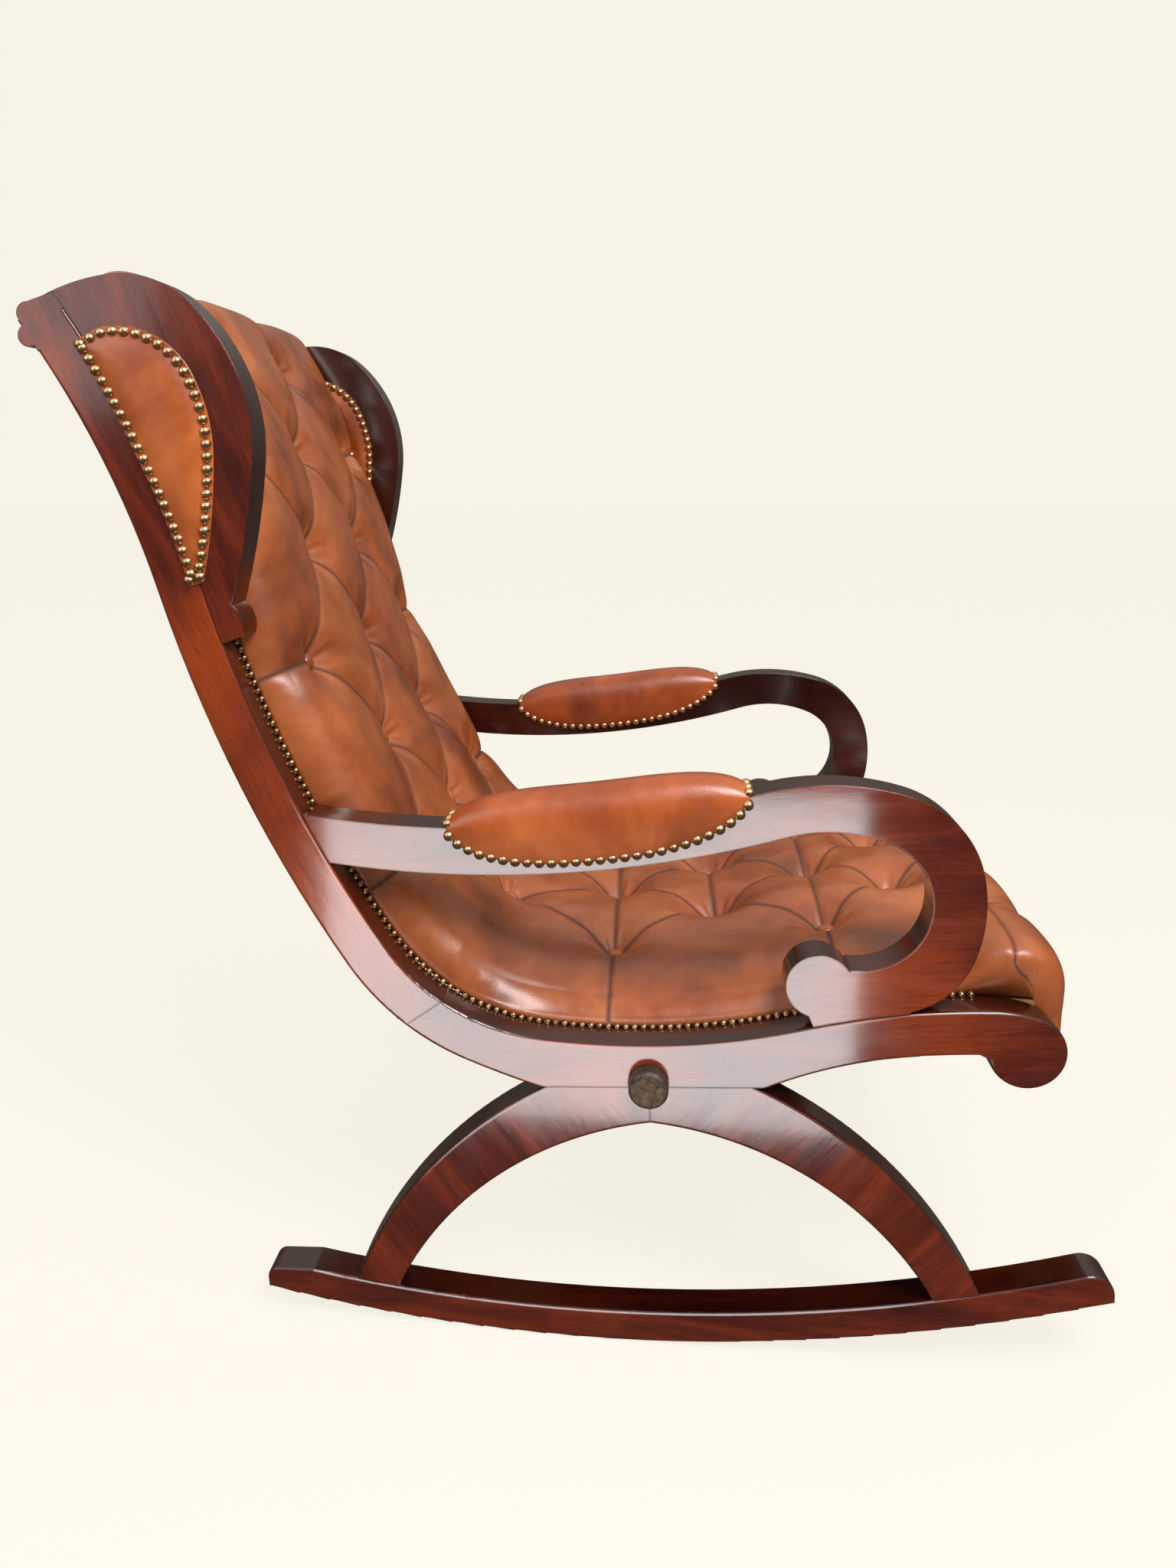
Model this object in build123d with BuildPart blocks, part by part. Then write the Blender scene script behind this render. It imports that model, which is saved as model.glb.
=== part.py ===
"""Wing-back library rocking chair with sawn side frames and buttoned leather upholstery.

Two flat side frames carry the chair. Each one is a rocker, two half arches, a seat side rail,
a back stile, a wing and a scroll arm, all sawn from boards of one thickness. Four cross rails
and one round rod join the frames. The seat and the back follow one S-shaped line.

Profiles are drawn on the plane `side`: x runs forward from the cross rod, and y runs up from
the line where the seat rail bears on the arches. World axes: +X front, +Y left, +Z up.
"""

from build123d import *

import os
from math import copysign, cos, degrees, radians, sin

os.makedirs("parts", exist_ok=True)

# ---------------------------------------------------------------- driving dimensions, mm and degrees

# Side frames
chair_width = 620  # over the outer faces of the side frames
board = 36  # thickness of the side frame boards
member_depth = 42  # depth of the rails and stiles, seen from the side
rest_lean = 3.6  # how far the chair leans back when it stands by itself
glue_line = 0.1  # gap left between glued curved faces
edge_round = 3  # rounding of the sawn edges

# Rockers and arches
rocker_radius = 1613
rocker_depth = 32
rocker_rear = 391  # reach behind the rod
rocker_front = 418  # reach ahead of the rod
rocker_heel = 342  # where the worn flat on the rear tip starts
heel_round = 11
toe_round = 20
joint_height = 268  # from the rocker's underside up to the seat rail, below the rod
arch_outer_radius = 419
arch_outer_lean = 85  # how far the outer arc's centre lies past the seam
arch_outer_drop = 377  # how far it lies below the seat rail
arch_inner_radius = 337
arch_inner_lean = 43
arch_inner_drop = 371

# Cross rod
rod_diameter = 37
rod_rise = 4  # rod axis above the joint line
rod_stand_out = 15  # rod end proud of each side frame
rod_chamfer = 2.5
rod_clearance = 0.15

# The S-line of seat and back: tangent arcs, forward and rearward from a point above the rod
line_rise = 42.5
dish_radius, dish_turn = 657, 12.4
lip_radius, lip_turn = 704, 17.5
settle_radius, settle_turn = 768, 7.2
hollow_radius, hollow_turn = 200, 52.1
back_radius, back_turn = 1247, 17.5
crest_radius, crest_turn = 876, 18.4

# Seat side rail; places along the S-line are distances from the point above the rod, up the back
nose_at = -313  # where the top of the rail leaves the S-line
nose_lead_radius, nose_lead_turn = 117, 20.5
nose_radius, nose_turn = 34, 240
nose_heel = 11  # where the underside meets the nose, behind `nose_at`
bearing_front = 112  # flat under the rail where the arches bear, ahead of and behind the rod
bearing_rear = 106
run_out_front = -228  # where the thicker middle of the rail runs out
run_out_rear = 157
scarf_at = 199.5
scarf_angle = 33  # slope of the scarf joint between rail and stile

# Back stile and crest
crest_bead = 10  # radius of the two beads on the back of the crest
crest_bead_set_in = 30  # centre of the top bead behind the S-line
crest_bead_set_out = 41  # centre of the lower bead
crest_bead_step = 16.5  # spacing of the beads

# Wings
wing_foot_at = 597
wing_lobe_at = 611
wing_notch_at = 628
wing_foot_reach = 21
wing_lobe_reach = 26
wing_notch_reach = 21.8
wing_splay = 35  # how far the wing's front edge turns away from the S-line at the notch
wing_front_radius, wing_front_turn = 645, 11.6
wing_shoulder_radius, wing_shoulder_turn = 166, 53.5
wing_corner_radius, wing_corner_turn = 90, 47.3
wing_top_radius, wing_top_turn = 195, 19.5
wing_border_back = 14  # wood left between the opening and the stile
opening_border = 16  # bearing of the leather panel round the opening
panel_low_at = 655
panel_low_reach = 4
panel_length = 240
panel_splay = 30  # how far the panel's front edge turns away from the S-line at its foot
panel_front_radius, panel_front_turn = 566, 11.6
panel_shoulder_radius, panel_shoulder_turn = 146, 28.7
panel_top_radius, panel_top_turn = 77, 77
panel_lap = 10  # how far the panel laps over the stile
panel_thickness = 5
panel_round = 3.5
inner_panel_from = 50  # the inner panel starts clear of the back upholstery

# Scroll arms
arm_heading = -10.7  # slope of the arm's top where it leaves the stile
arm_start = (-306, 272.8)
arm_dip_radius, arm_dip_turn = 1018, 23.7
arm_crown_radius, arm_crown_turn = 230, 32
arm_front_radius, arm_front_turn = 94, 60.2
arm_throat_radius, arm_throat_turn = 147, 31.7
arm_foot_radius, arm_foot_turn = 80, 55.5
arm_inner_start = (-285, 225.3)
arm_inner_heading = -9.9
arm_inner_dip_radius, arm_inner_dip_turn = 1009, 23.9
arm_inner_crown_radius, arm_inner_crown_turn = 135, 38.3
arm_inner_front_radius, arm_inner_front_turn = 62, 164
curl_radius = 30  # curled end of the arm
curl_ahead = 158
curl_rise = 99
curl_foot_angle = 250  # where the curl runs down into the foot

# Padded arm tops
pad_rear = -176
pad_front = 107
pad_rise = 33  # above the wood
pad_skirt = 37  # below the top of the wood
pad_end_round = 26
pad_skirt_round = 24
pad_cheek = 9  # thickness on each face of the arm
pad_edge_round = 14

# Cross rails and battens
tenon_length = 24
tenon_shoulder = 6
tenon_clearance = 0.15
tenon_end_gap = 1
rail_depth = 30  # cross rails, measured square to the S-line
rail_height = 60
crest_rail_height = 50
front_rail_thickness = 30
front_rail_height = 50
front_tenon_shoulder = 10
lower_rail_at = 240
rear_rail_at = 100
batten_width = 18
batten_depth = 12
deck_drop = 4  # front faces of battens and cross rails behind the S-line

# Webbing, stuffing, leather and linings
strap_thickness = 1.3
strap_width = 50
strap_pitch = 66
strap_gap = 0.1
strap_end = 6
soft_gap = 0.3  # clearance round soft parts
leather = 2.4  # thickness of the cover
crown = 58  # top of the leather ahead of the S-line
side_round = 26  # rounding of the upholstery along both sides
front_roll_at = -326  # where the crown turns down over the front
front_roll_radius = 60
front_roll_drop = 36  # bottom of the front roll below the S-line
front_fall_radius, front_fall_turn = 260, 9
crest_roll_setback = 20  # where the crown turns over the crest, below the end of the S-line
crest_roll_radius, crest_roll_turn = 30, 128
hollow_at = 190  # where the stuffing of seat and back meet
lining = 2.5  # outside back panel and dust cover

# Dowels
dowel_diameter = 10
dowel_length = 50
dowel_clearance = 0.1
dowel_end_gap = 1
arch_dowel_reach = 62  # from the seam of the half arches
foot_dowel_reach = 278
scarf_dowel_spacing = 18
arm_dowel_spots = (381, 404)
arm_dowel_angle = 170
curl_dowel_spots = (180, 216)
wing_dowel_spots = (668, 886)

# ---------------------------------------------------------------- derived sizes

inner_half = chair_width / 2 - board
circle_rise = rocker_radius - joint_height
rocker_top_radius = rocker_radius - rocker_depth
soft_half = inner_half - soft_gap
anchor = Vector(0, line_rise)


def direction(angle):
    """Unit vector at an angle in degrees."""
    return Vector(cos(radians(angle)), sin(radians(angle)))


def arc_end(point, heading, radius, turn):
    """End of an arc from `point` that bends left by `turn` degrees."""
    to_centre = copysign(radius, turn)
    return point + (direction(heading + 90) - direction(heading + turn + 90)) * to_centre


# The S-line from its front end to its top, as (radius, left turn)
s_line = [
    (lip_radius, lip_turn),
    (dish_radius, -dish_turn),
    (settle_radius, -settle_turn),
    (hollow_radius, -hollow_turn),
    (back_radius, -back_turn),
    (crest_radius, crest_turn),
]
lip_start = arc_end(anchor, 0, dish_radius, dish_turn)
front_end = arc_end(lip_start, dish_turn, lip_radius, -lip_turn)
front_heading = 180 + dish_turn - lip_turn
s_lengths = [radius * radians(abs(turn)) for radius, turn in s_line]
front_at = -sum(s_lengths[:2])
top_at = sum(s_lengths[2:])


def place(at):
    """Point and heading of the S-line at a distance along it."""
    point = front_end
    heading = front_heading
    left = at - front_at
    for (radius, turn), length in zip(s_line, s_lengths):
        part = copysign(degrees(min(left, length) / radius), turn)
        point = arc_end(point, heading, radius, part)
        heading += part
        left -= length
        if left <= 0:
            break
    return point, heading


def beside(at, ahead):
    """Point ahead of the S-line, on the sitter's side, at a distance along it."""
    point, heading = place(at)
    return point + direction(heading - 90) * ahead


def parallel(ahead, first, last):
    """Tangent arcs that run ahead of the S-line between two distances along it."""
    begin = front_at
    for (radius, turn), length in zip(s_line, s_lengths):
        low = max(first, begin)
        high = min(last, begin + length)
        if high - low > glue_line:
            bend = copysign(1, turn)
            sweep_angle = bend * degrees((high - low) / radius)
            JernArc(beside(low, ahead), direction(place(low)[1]), radius + bend * ahead, sweep_angle)
        begin += length


def band(near, far, first, last):
    """Face between two lines parallel to the S-line."""
    with BuildSketch() as face:
        with BuildLine():
            parallel(near, first, last)
            parallel(far, first, last)
            Line(beside(first, near), beside(first, far))
            Line(beside(last, near), beside(last, far))
        make_face()
    return face.sketch


def arc_chain(start, heading, arcs):
    """Tangent arcs from `start`, each (radius, left turn). Returns the end point."""
    for radius, turn in arcs:
        arc = JernArc(start, direction(heading), radius, turn)
        start = arc @ 1
        heading += turn
    return start


# The side plane stands so that the rocker circle touches the floor at any lean, with the
# chair's length centred on the origin
lean = radians(rest_lean)
toe = Vector(rocker_front, circle_rise - (rocker_top_radius**2 - rocker_front**2) ** 0.5)
heel = beside(top_at - crest_bead_step, -crest_bead_set_out - crest_bead)
toe_x = toe.X * cos(lean) - toe.Y * sin(lean)
heel_x = heel.X * cos(lean) - heel.Y * sin(lean)
side = Plane(
    origin=(-(toe_x + heel_x) / 2, 0, rocker_radius - circle_rise * cos(lean)),
    x_dir=(cos(lean), 0, sin(lean)),
    z_dir=(0, -1, 0),
)
board_face = side.offset(inner_half)  # inner face of the right side frame
board_middle = side.offset(inner_half + board / 2)


def bar_plane(point, angle):
    """Plane across a bar that lies in the middle of the right side frame's board."""
    along = direction(angle)
    axis = side.x_dir * along.X + side.y_dir * along.Y
    return Plane(origin=board_middle.from_local_coords(Vector(point)), z_dir=axis)


def drill(spots):
    """Cuts dowel holes into the open part."""
    radius = dowel_diameter / 2 + dowel_clearance
    with Locations(*[bar_plane(point, angle) for point, angle in spots]):
        Cylinder(radius, dowel_length + 2 * dowel_end_gap, mode=Mode.SUBTRACT)


def bore_rod():
    """Cuts the cross rod's hole into the open part."""
    with Locations(Plane(origin=side.from_local_coords((0, rod_rise, 0)), z_dir=side.z_dir)):
        Cylinder(rod_diameter / 2 + rod_clearance, chair_width, mode=Mode.SUBTRACT)


def round_board(square_radius=0):
    """Rounds the curved edges along both faces of the open part; straight joints stay square."""
    rims = edges().filter_by(GeomType.LINE, reverse=True)
    rims = rims.filter_by(lambda edge: edge.bounding_box().size.Y < glue_line)
    if square_radius:
        rims = rims.filter_by(lambda edge: abs(edge.radius - square_radius) > glue_line)
    fillet(rims, edge_round)


def keep(piece, name):
    """Labels a finished piece and writes it."""
    piece.label = name
    export_step(piece, f"parts/{name}.step")


def keep_pair(piece, name):
    """Writes a piece of the right side and its mirror image on the left."""
    keep(piece, f"{name}_R")
    with BuildPart() as other:
        mirror(piece, about=Plane.XZ)
    keep(other.part, f"{name}_L")


# ---------------------------------------------------------------- dowel places, (point, angle)

arch_spots = [((-arch_dowel_reach, 0), 90), ((arch_dowel_reach, 0), 90)]
foot_lean = degrees(foot_dowel_reach / rocker_top_radius)
foot_rise = circle_rise - (rocker_top_radius**2 - foot_dowel_reach**2) ** 0.5
foot_spots = [
    ((-foot_dowel_reach, foot_rise), 90 - foot_lean),
    ((foot_dowel_reach, foot_rise), 90 + foot_lean),
]
scarf_heading = place(scarf_at)[1]
scarf_middle = beside(scarf_at, 0) - direction(scarf_angle) * member_depth / 2
scarf_spots = [
    (scarf_middle + direction(scarf_angle) * scarf_dowel_spacing / 2, scarf_heading),
    (scarf_middle - direction(scarf_angle) * scarf_dowel_spacing / 2, scarf_heading),
]
arm_spots = [(beside(at, 0), arm_dowel_angle) for at in arm_dowel_spots]
curl_spots = [(beside(-ahead, 0), 90) for ahead in curl_dowel_spots]
wing_spots = [(beside(at, 0), place(at)[1] - 90) for at in wing_dowel_spots]

# ---------------------------------------------------------------- rockers

with BuildPart() as rocker:
    with BuildSketch(board_face) as rocker_face:
        with Locations((0, circle_rise)):
            Circle(rocker_radius)
            Circle(rocker_top_radius, mode=Mode.SUBTRACT)
        with Locations(((rocker_front - rocker_rear) / 2, -joint_height)):
            Rectangle(rocker_front + rocker_rear, joint_height, mode=Mode.INTERSECT)
        heel_top = circle_rise - (rocker_top_radius**2 - rocker_heel**2) ** 0.5
        with Locations((-rocker_heel, heel_top)):
            Rectangle(rocker_depth * 2, rocker_depth, align=(Align.MAX, Align.MIN), mode=Mode.SUBTRACT)
        fillet(rocker_face.vertices().group_by(Axis.X)[0].sort_by(Axis.Y)[-1], heel_round)
        fillet(rocker_face.vertices().group_by(Axis.X)[-1].sort_by(Axis.Y)[-1], toe_round)
    extrude(amount=board)
    round_board()
    drill(foot_spots)
keep_pair(rocker.part, "rocker")

# ---------------------------------------------------------------- half arches


def half_arch(facing):
    """Quarter of the arch on the front (1) or rear (-1) side of the seam."""
    with BuildPart() as arch:
        with BuildSketch(board_face):
            with Locations((-facing * arch_outer_lean, -arch_outer_drop)):
                Circle(arch_outer_radius)
            with Locations((0, 0)):
                corner = (Align.MIN if facing > 0 else Align.MAX, Align.MAX)
                Rectangle(arch_outer_radius, joint_height, align=corner, mode=Mode.INTERSECT)
            with Locations((-facing * arch_inner_lean, -arch_inner_drop)):
                Circle(arch_inner_radius, mode=Mode.SUBTRACT)
            with Locations((0, circle_rise)):
                Circle(rocker_top_radius - glue_line, mode=Mode.INTERSECT)
        extrude(amount=board)
        round_board(rocker_top_radius - glue_line)
        bore_rod()
        drill(arch_spots + foot_spots)
    return arch.part


keep_pair(half_arch(-1), "rear_half_arch")
keep_pair(half_arch(1), "front_half_arch")

# ---------------------------------------------------------------- cross rails

deck = -deck_drop
rail_back = deck - rail_depth
top_bead = beside(top_at, -crest_bead_set_in)
low_bead = beside(top_at - crest_bead_step, -crest_bead_set_out)

with BuildSketch() as crest_beads:
    with BuildLine():
        Polyline(
            beside(top_at, deck),
            top_bead + direction(place(top_at)[1]) * crest_bead,
            top_bead + direction(place(top_at)[1] + 90) * crest_bead,
            low_bead,
            beside(top_at - 2 * crest_bead_step, -member_depth),
            beside(top_at - 2 * crest_bead_step, deck),
            close=True,
        )
    make_face()
    with Locations(top_bead, low_bead):
        Circle(crest_bead)


def tenon(first, last, near, far, growth=0):
    """Face of a tenon, grown by the clearance for its mortise."""
    return band(near + growth, far - growth, first - growth, last + growth)


rail_first = [lower_rail_at, rear_rail_at, top_at - crest_rail_height]
rail_last = [lower_rail_at + rail_height, rear_rail_at + rail_height, top_at]
tenon_faces = []
mortise_faces = []
for first, last in zip(rail_first, rail_last):
    span = (first + tenon_shoulder, last - tenon_shoulder, deck - tenon_shoulder, rail_back + tenon_shoulder)
    tenon_faces.append(tenon(*span))
    mortise_faces.append(tenon(*span, tenon_clearance))
front_span = (
    front_at + tenon_shoulder,
    front_at + front_rail_thickness - tenon_shoulder,
    deck - front_tenon_shoulder,
    deck - front_rail_height + front_tenon_shoulder,
)
tenon_faces.append(tenon(*front_span))
mortise_faces.append(tenon(*front_span, tenon_clearance))

with BuildPart() as mortise_tool:
    with BuildSketch(board_face):
        add(mortise_faces)
    extrude(amount=tenon_length + tenon_end_gap)
mortises = mortise_tool.part


def cross_rail(profile, tenon_face):
    """Rail between the side frames with a tenon at each end."""
    with BuildPart() as rail:
        with BuildSketch(side):
            add(profile)
        extrude(amount=inner_half, both=True)
        with BuildSketch(side):
            add(tenon_face)
        extrude(amount=inner_half + tenon_length, both=True)
    return rail.part


lower_profile = band(deck, rail_back, lower_rail_at, lower_rail_at + rail_height)
rear_profile = band(deck, rail_back, rear_rail_at, rear_rail_at + rail_height)
front_profile = band(deck, deck - front_rail_height, front_at, front_at + front_rail_thickness)
with BuildSketch() as crest_profile:
    add(band(deck, rail_back, top_at - crest_rail_height, top_at))
    add(crest_beads.sketch)
keep(cross_rail(lower_profile, tenon_faces[0]), "back_lower_rail")
keep(cross_rail(rear_profile, tenon_faces[1]), "seat_rear_rail")
keep(cross_rail(crest_profile.sketch, tenon_faces[2]), "crest_rail")
keep(cross_rail(front_profile, tenon_faces[3]), "seat_front_rail")

with BuildSketch() as crest_moulding:
    with BuildLine():
        Polyline(
            beside(top_at, 0),
            top_bead + direction(place(top_at)[1]) * crest_bead,
            top_bead,
            beside(top_at - crest_bead_step, -member_depth / 2),
            beside(top_at - crest_bead_step, 0),
            close=True,
        )
    make_face()
    add(crest_beads.sketch)

# ---------------------------------------------------------------- seat side rails and back stiles

with BuildSketch() as above_scarf:
    with Locations(Location(beside(scarf_at, 0), (0, 0, 1), scarf_angle)):
        Rectangle(rocker_radius, rocker_radius, align=(Align.CENTER, Align.MIN))

with BuildPart() as seat_side_rail:
    with BuildSketch(board_face) as rail_face:
        with BuildLine():
            parallel(0, nose_at, scarf_at + member_depth)
            nose_lead = (nose_lead_radius, -nose_lead_turn)
            nose_arc = (nose_radius, -nose_turn)
            nose_heading = place(nose_at)[1] + 180
            nose_end = arc_chain(beside(nose_at, 0), nose_heading, [nose_lead, nose_arc])
            Line(nose_end, beside(nose_at + nose_heel, -member_depth))
            parallel(-member_depth, nose_at + nose_heel, run_out_front)
            run_out = beside(run_out_front, -member_depth)
            TangentArc(run_out, (bearing_front, 0), tangent=direction(place(run_out_front)[1]))
            Line((bearing_front, 0), (-bearing_rear, 0))
            run_out = beside(run_out_rear, -member_depth)
            TangentArc(run_out, (-bearing_rear, 0), tangent=-direction(place(run_out_rear)[1]))
            parallel(-member_depth, run_out_rear, scarf_at + member_depth)
            rail_end = beside(scarf_at + member_depth, 0)
            Line(beside(scarf_at + member_depth, -member_depth), rail_end)
        make_face()
        add(above_scarf.sketch, mode=Mode.SUBTRACT)
    extrude(amount=board)
    round_board()
    bore_rod()
    drill(arch_spots + scarf_spots + curl_spots)
    add(mortises, mode=Mode.SUBTRACT)
keep_pair(seat_side_rail.part, "seat_side_rail")

with BuildPart() as back_stile:
    with BuildSketch(board_face):
        add(band(0, -member_depth, scarf_at - member_depth, top_at))
        add(above_scarf.sketch, mode=Mode.INTERSECT)
    extrude(amount=board)
    round_board()
    with BuildSketch(board_face):
        add(crest_moulding.sketch)
    extrude(amount=board)
    drill(scarf_spots + arm_spots + wing_spots)
    add(mortises, mode=Mode.SUBTRACT)
keep_pair(back_stile.part, "back_stile")

# ---------------------------------------------------------------- wings

with BuildSketch() as wing_outline:
    with BuildLine():
        foot_corner = beside(wing_foot_at, wing_foot_reach)
        notch = beside(wing_notch_at, wing_notch_reach)
        ThreePointArc(foot_corner, beside(wing_lobe_at, wing_lobe_reach), notch)
        wing_end = arc_chain(
            notch,
            place(wing_notch_at)[1] - wing_splay,
            [
                (wing_front_radius, wing_front_turn),
                (wing_shoulder_radius, wing_shoulder_turn),
                (wing_corner_radius, wing_corner_turn),
                (wing_top_radius, wing_top_turn),
            ],
        )
        Polyline(wing_end, beside(wing_notch_at, -member_depth), beside(wing_foot_at, -edge_round), foot_corner)
    make_face()

with BuildSketch() as panel_outline:
    with BuildLine():
        low_heading = place(panel_low_at)[1] - panel_splay
        low_corner = beside(panel_low_at, panel_low_reach)
        panel_end = arc_chain(
            low_corner,
            low_heading,
            [
                (panel_front_radius, panel_front_turn),
                (panel_shoulder_radius, panel_shoulder_turn),
                (panel_top_radius, panel_top_turn),
            ],
        )
        panel_top_at = panel_low_at + panel_length
        Line(panel_end, beside(panel_top_at, -panel_lap))
        parallel(-panel_lap, panel_low_at, panel_top_at)
        Line(beside(panel_low_at, -panel_lap), low_corner)
    make_face()

with BuildSketch() as wing_opening:
    add(panel_outline.sketch)
    offset(amount=-opening_border)
    add(band(wing_border_back, 4 * member_depth, panel_low_at, top_at), mode=Mode.INTERSECT)

with BuildPart() as wing_frame:
    with BuildSketch(board_face):
        add(wing_outline.sketch)
    extrude(amount=board)
    with BuildSketch(board_face):
        add(band(glue_line, -2 * member_depth, wing_foot_at - edge_round, top_at))
        add(crest_moulding.sketch)
        add(wing_opening.sketch)
    extrude(amount=board, mode=Mode.SUBTRACT)
    drill(wing_spots)
keep_pair(wing_frame.part, "wing_frame")

with BuildPart() as wing_stuffing:
    with BuildSketch(board_face):
        add(wing_opening.sketch)
        offset(amount=-soft_gap)
    extrude(amount=board)
keep_pair(wing_stuffing.part, "wing_stuffing")

with BuildPart() as wing_panel_outer:
    with BuildSketch(side.offset(chair_width / 2)):
        add(panel_outline.sketch)
    extrude(amount=panel_thickness)
    fillet(wing_panel_outer.faces().sort_by(Axis.Y)[0].edges(), panel_round)
keep_pair(wing_panel_outer.part, "wing_panel_outer")

with BuildPart() as wing_panel_inner:
    with BuildSketch(board_face):
        add(panel_outline.sketch)
        add(band(inner_panel_from, 4 * member_depth, panel_low_at, top_at), mode=Mode.INTERSECT)
    extrude(amount=-panel_thickness)
keep_pair(wing_panel_inner.part, "wing_panel_inner")

# ---------------------------------------------------------------- scroll arms

with BuildSketch() as arm_outline:
    with BuildLine():
        rear_corner = Vector(arm_start) - direction(arm_heading) * member_depth
        Line(rear_corner, arm_start)
        outer_end = arc_chain(
            Vector(arm_start),
            arm_heading,
            [
                (arm_dip_radius, arm_dip_turn),
                (arm_crown_radius, -arm_crown_turn),
                (arm_front_radius, -arm_front_turn),
                (arm_throat_radius, -arm_throat_turn),
                (arm_foot_radius, -arm_foot_turn),
            ],
        )
        inner_end = arc_chain(
            Vector(arm_inner_start),
            arm_inner_heading,
            [
                (arm_inner_dip_radius, arm_inner_dip_turn),
                (arm_inner_crown_radius, -arm_inner_crown_turn),
                (arm_inner_front_radius, -arm_inner_front_turn),
            ],
        )
        inner_rear = Vector(arm_inner_start) - direction(arm_inner_heading) * member_depth
        Line(inner_rear, arm_inner_start)
        Line(rear_corner, inner_rear)
        Polyline(outer_end, (outer_end.X, line_rise), (curl_ahead, line_rise), inner_end)
    make_face()
    with Locations((curl_ahead, curl_rise)):
        Circle(curl_radius)
    with BuildLine():
        curl_low = Vector(curl_ahead, curl_rise) + direction(curl_foot_angle) * curl_radius
        Polyline((curl_ahead, curl_rise), curl_low, (curl_ahead, line_rise), inner_end, close=True)
    make_face()

with BuildPart() as scroll_arm:
    with BuildSketch(board_face):
        add(arm_outline.sketch)
    extrude(amount=board)
    with BuildSketch(board_face):
        add(band(glue_line, -2 * member_depth, scarf_at + member_depth, wing_foot_at))
        add(band(glue_line, -2 * member_depth, nose_at, 0))
    extrude(amount=board, mode=Mode.SUBTRACT)
    drill(arm_spots + curl_spots)
keep_pair(scroll_arm.part, "scroll_arm")

# Padded tops: a saddle of stuffing and leather over the dip in each arm
arm_centre = Vector(arm_start) + direction(arm_heading + 90) * arm_dip_radius
pad_from = degrees((pad_rear - arm_centre.X) / arm_dip_radius) - 90
pad_span = degrees((pad_front - pad_rear) / arm_dip_radius)
pad_half = board / 2 + pad_cheek


def pad_arc(radius):
    """Arc over the length of the pad, around the centre of the arm's dip."""
    return CenterArc(arm_centre, radius, pad_from, pad_span)


with BuildPart() as arm_pad:
    with BuildSketch(board_middle) as pad_face:
        with BuildLine():
            top = pad_arc(arm_dip_radius - pad_rise)
            low = pad_arc(arm_dip_radius + pad_skirt)
            Line(top @ 0, low @ 0)
            Line(top @ 1, low @ 1)
        make_face()
        corners = pad_face.vertices().sort_by_distance(arm_centre)
        fillet(corners[:2], pad_end_round)
        fillet(corners[2:], pad_skirt_round)
    extrude(amount=pad_half, both=True)
    rims = arm_pad.edges().filter_by(lambda edge: edge.bounding_box().size.Y < glue_line)
    fillet(rims, pad_edge_round)
    with BuildSketch(board_middle):
        with BuildLine():
            top = pad_arc(arm_dip_radius - soft_gap)
            low = pad_arc(arm_dip_radius + pad_skirt + edge_round)
            Line(top @ 0, low @ 0)
            Line(top @ 1, low @ 1)
        make_face()
    extrude(amount=board / 2 + soft_gap, both=True, mode=Mode.SUBTRACT)
keep_pair(arm_pad.part, "arm_pad")

# ---------------------------------------------------------------- rod, battens, webbing and linings

with BuildPart() as cross_rod:
    with Locations(Plane(origin=side.from_local_coords((0, rod_rise, 0)), z_dir=side.z_dir)):
        Cylinder(rod_diameter / 2, chair_width + 2 * rod_stand_out)
    chamfer(cross_rod.edges().filter_by(GeomType.CIRCLE), rod_chamfer)
keep(cross_rod.part, "cross_rod")


def batten(first, last):
    """Tacking batten along the inner face of the right side frame."""
    with BuildPart() as strip:
        with BuildSketch(board_face):
            add(band(deck, deck - batten_depth, first, last))
        extrude(amount=-batten_width)
    return strip.part


front_rail_end = front_at + front_rail_thickness
lower_rail_end = lower_rail_at + rail_height
rear_rail_end = rear_rail_at + rail_height
crest_rail_start = top_at - crest_rail_height
keep_pair(batten(front_rail_end, rear_rail_at), "seat_batten")
keep_pair(batten(lower_rail_end, crest_rail_start), "back_batten")

long_strap_low = deck + strap_gap
cross_strap_low = long_strap_low + strap_thickness + strap_gap
deck_top = cross_strap_low + strap_thickness + soft_gap


def webbing(first, last, cross_first, cross_last):
    """Straps along the S-line, tacked to two cross rails, under straps from side to side."""
    strap_room = 2 * (inner_half - batten_width) - strap_width
    strap_count = int(strap_room // strap_pitch) + 1
    with BuildPart() as straps:
        for number in range(strap_count):
            middle = (number - (strap_count - 1) / 2) * strap_pitch
            with BuildSketch(side.offset(middle)):
                add(band(long_strap_low, long_strap_low + strap_thickness, first, last))
            extrude(amount=strap_width / 2, both=True)
        cross_count = int((cross_last - cross_first - strap_width) // strap_pitch) + 1
        for number in range(cross_count):
            begin = cross_first + strap_end + number * strap_pitch
            with BuildSketch(side):
                strap_top = cross_strap_low + strap_thickness
                add(band(cross_strap_low, strap_top, begin, begin + strap_width))
            extrude(amount=inner_half - strap_end, both=True)
    return straps.part


seat_straps = webbing(front_at + strap_end, rear_rail_end - strap_end, front_rail_end, rear_rail_at)
keep(seat_straps, "seat_webbing")
back_straps = webbing(lower_rail_at + strap_end, top_at - strap_end, lower_rail_end, crest_rail_start)
keep(back_straps, "back_webbing")

with BuildPart() as outside_back_panel:
    with BuildSketch(side):
        panel_face = rail_back - soft_gap
        add(band(panel_face, panel_face - lining, lower_rail_at, top_at - 2 * crest_bead_step - lining))
    extrude(amount=soft_half, both=True)
keep(outside_back_panel.part, "outside_back_panel")

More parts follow.
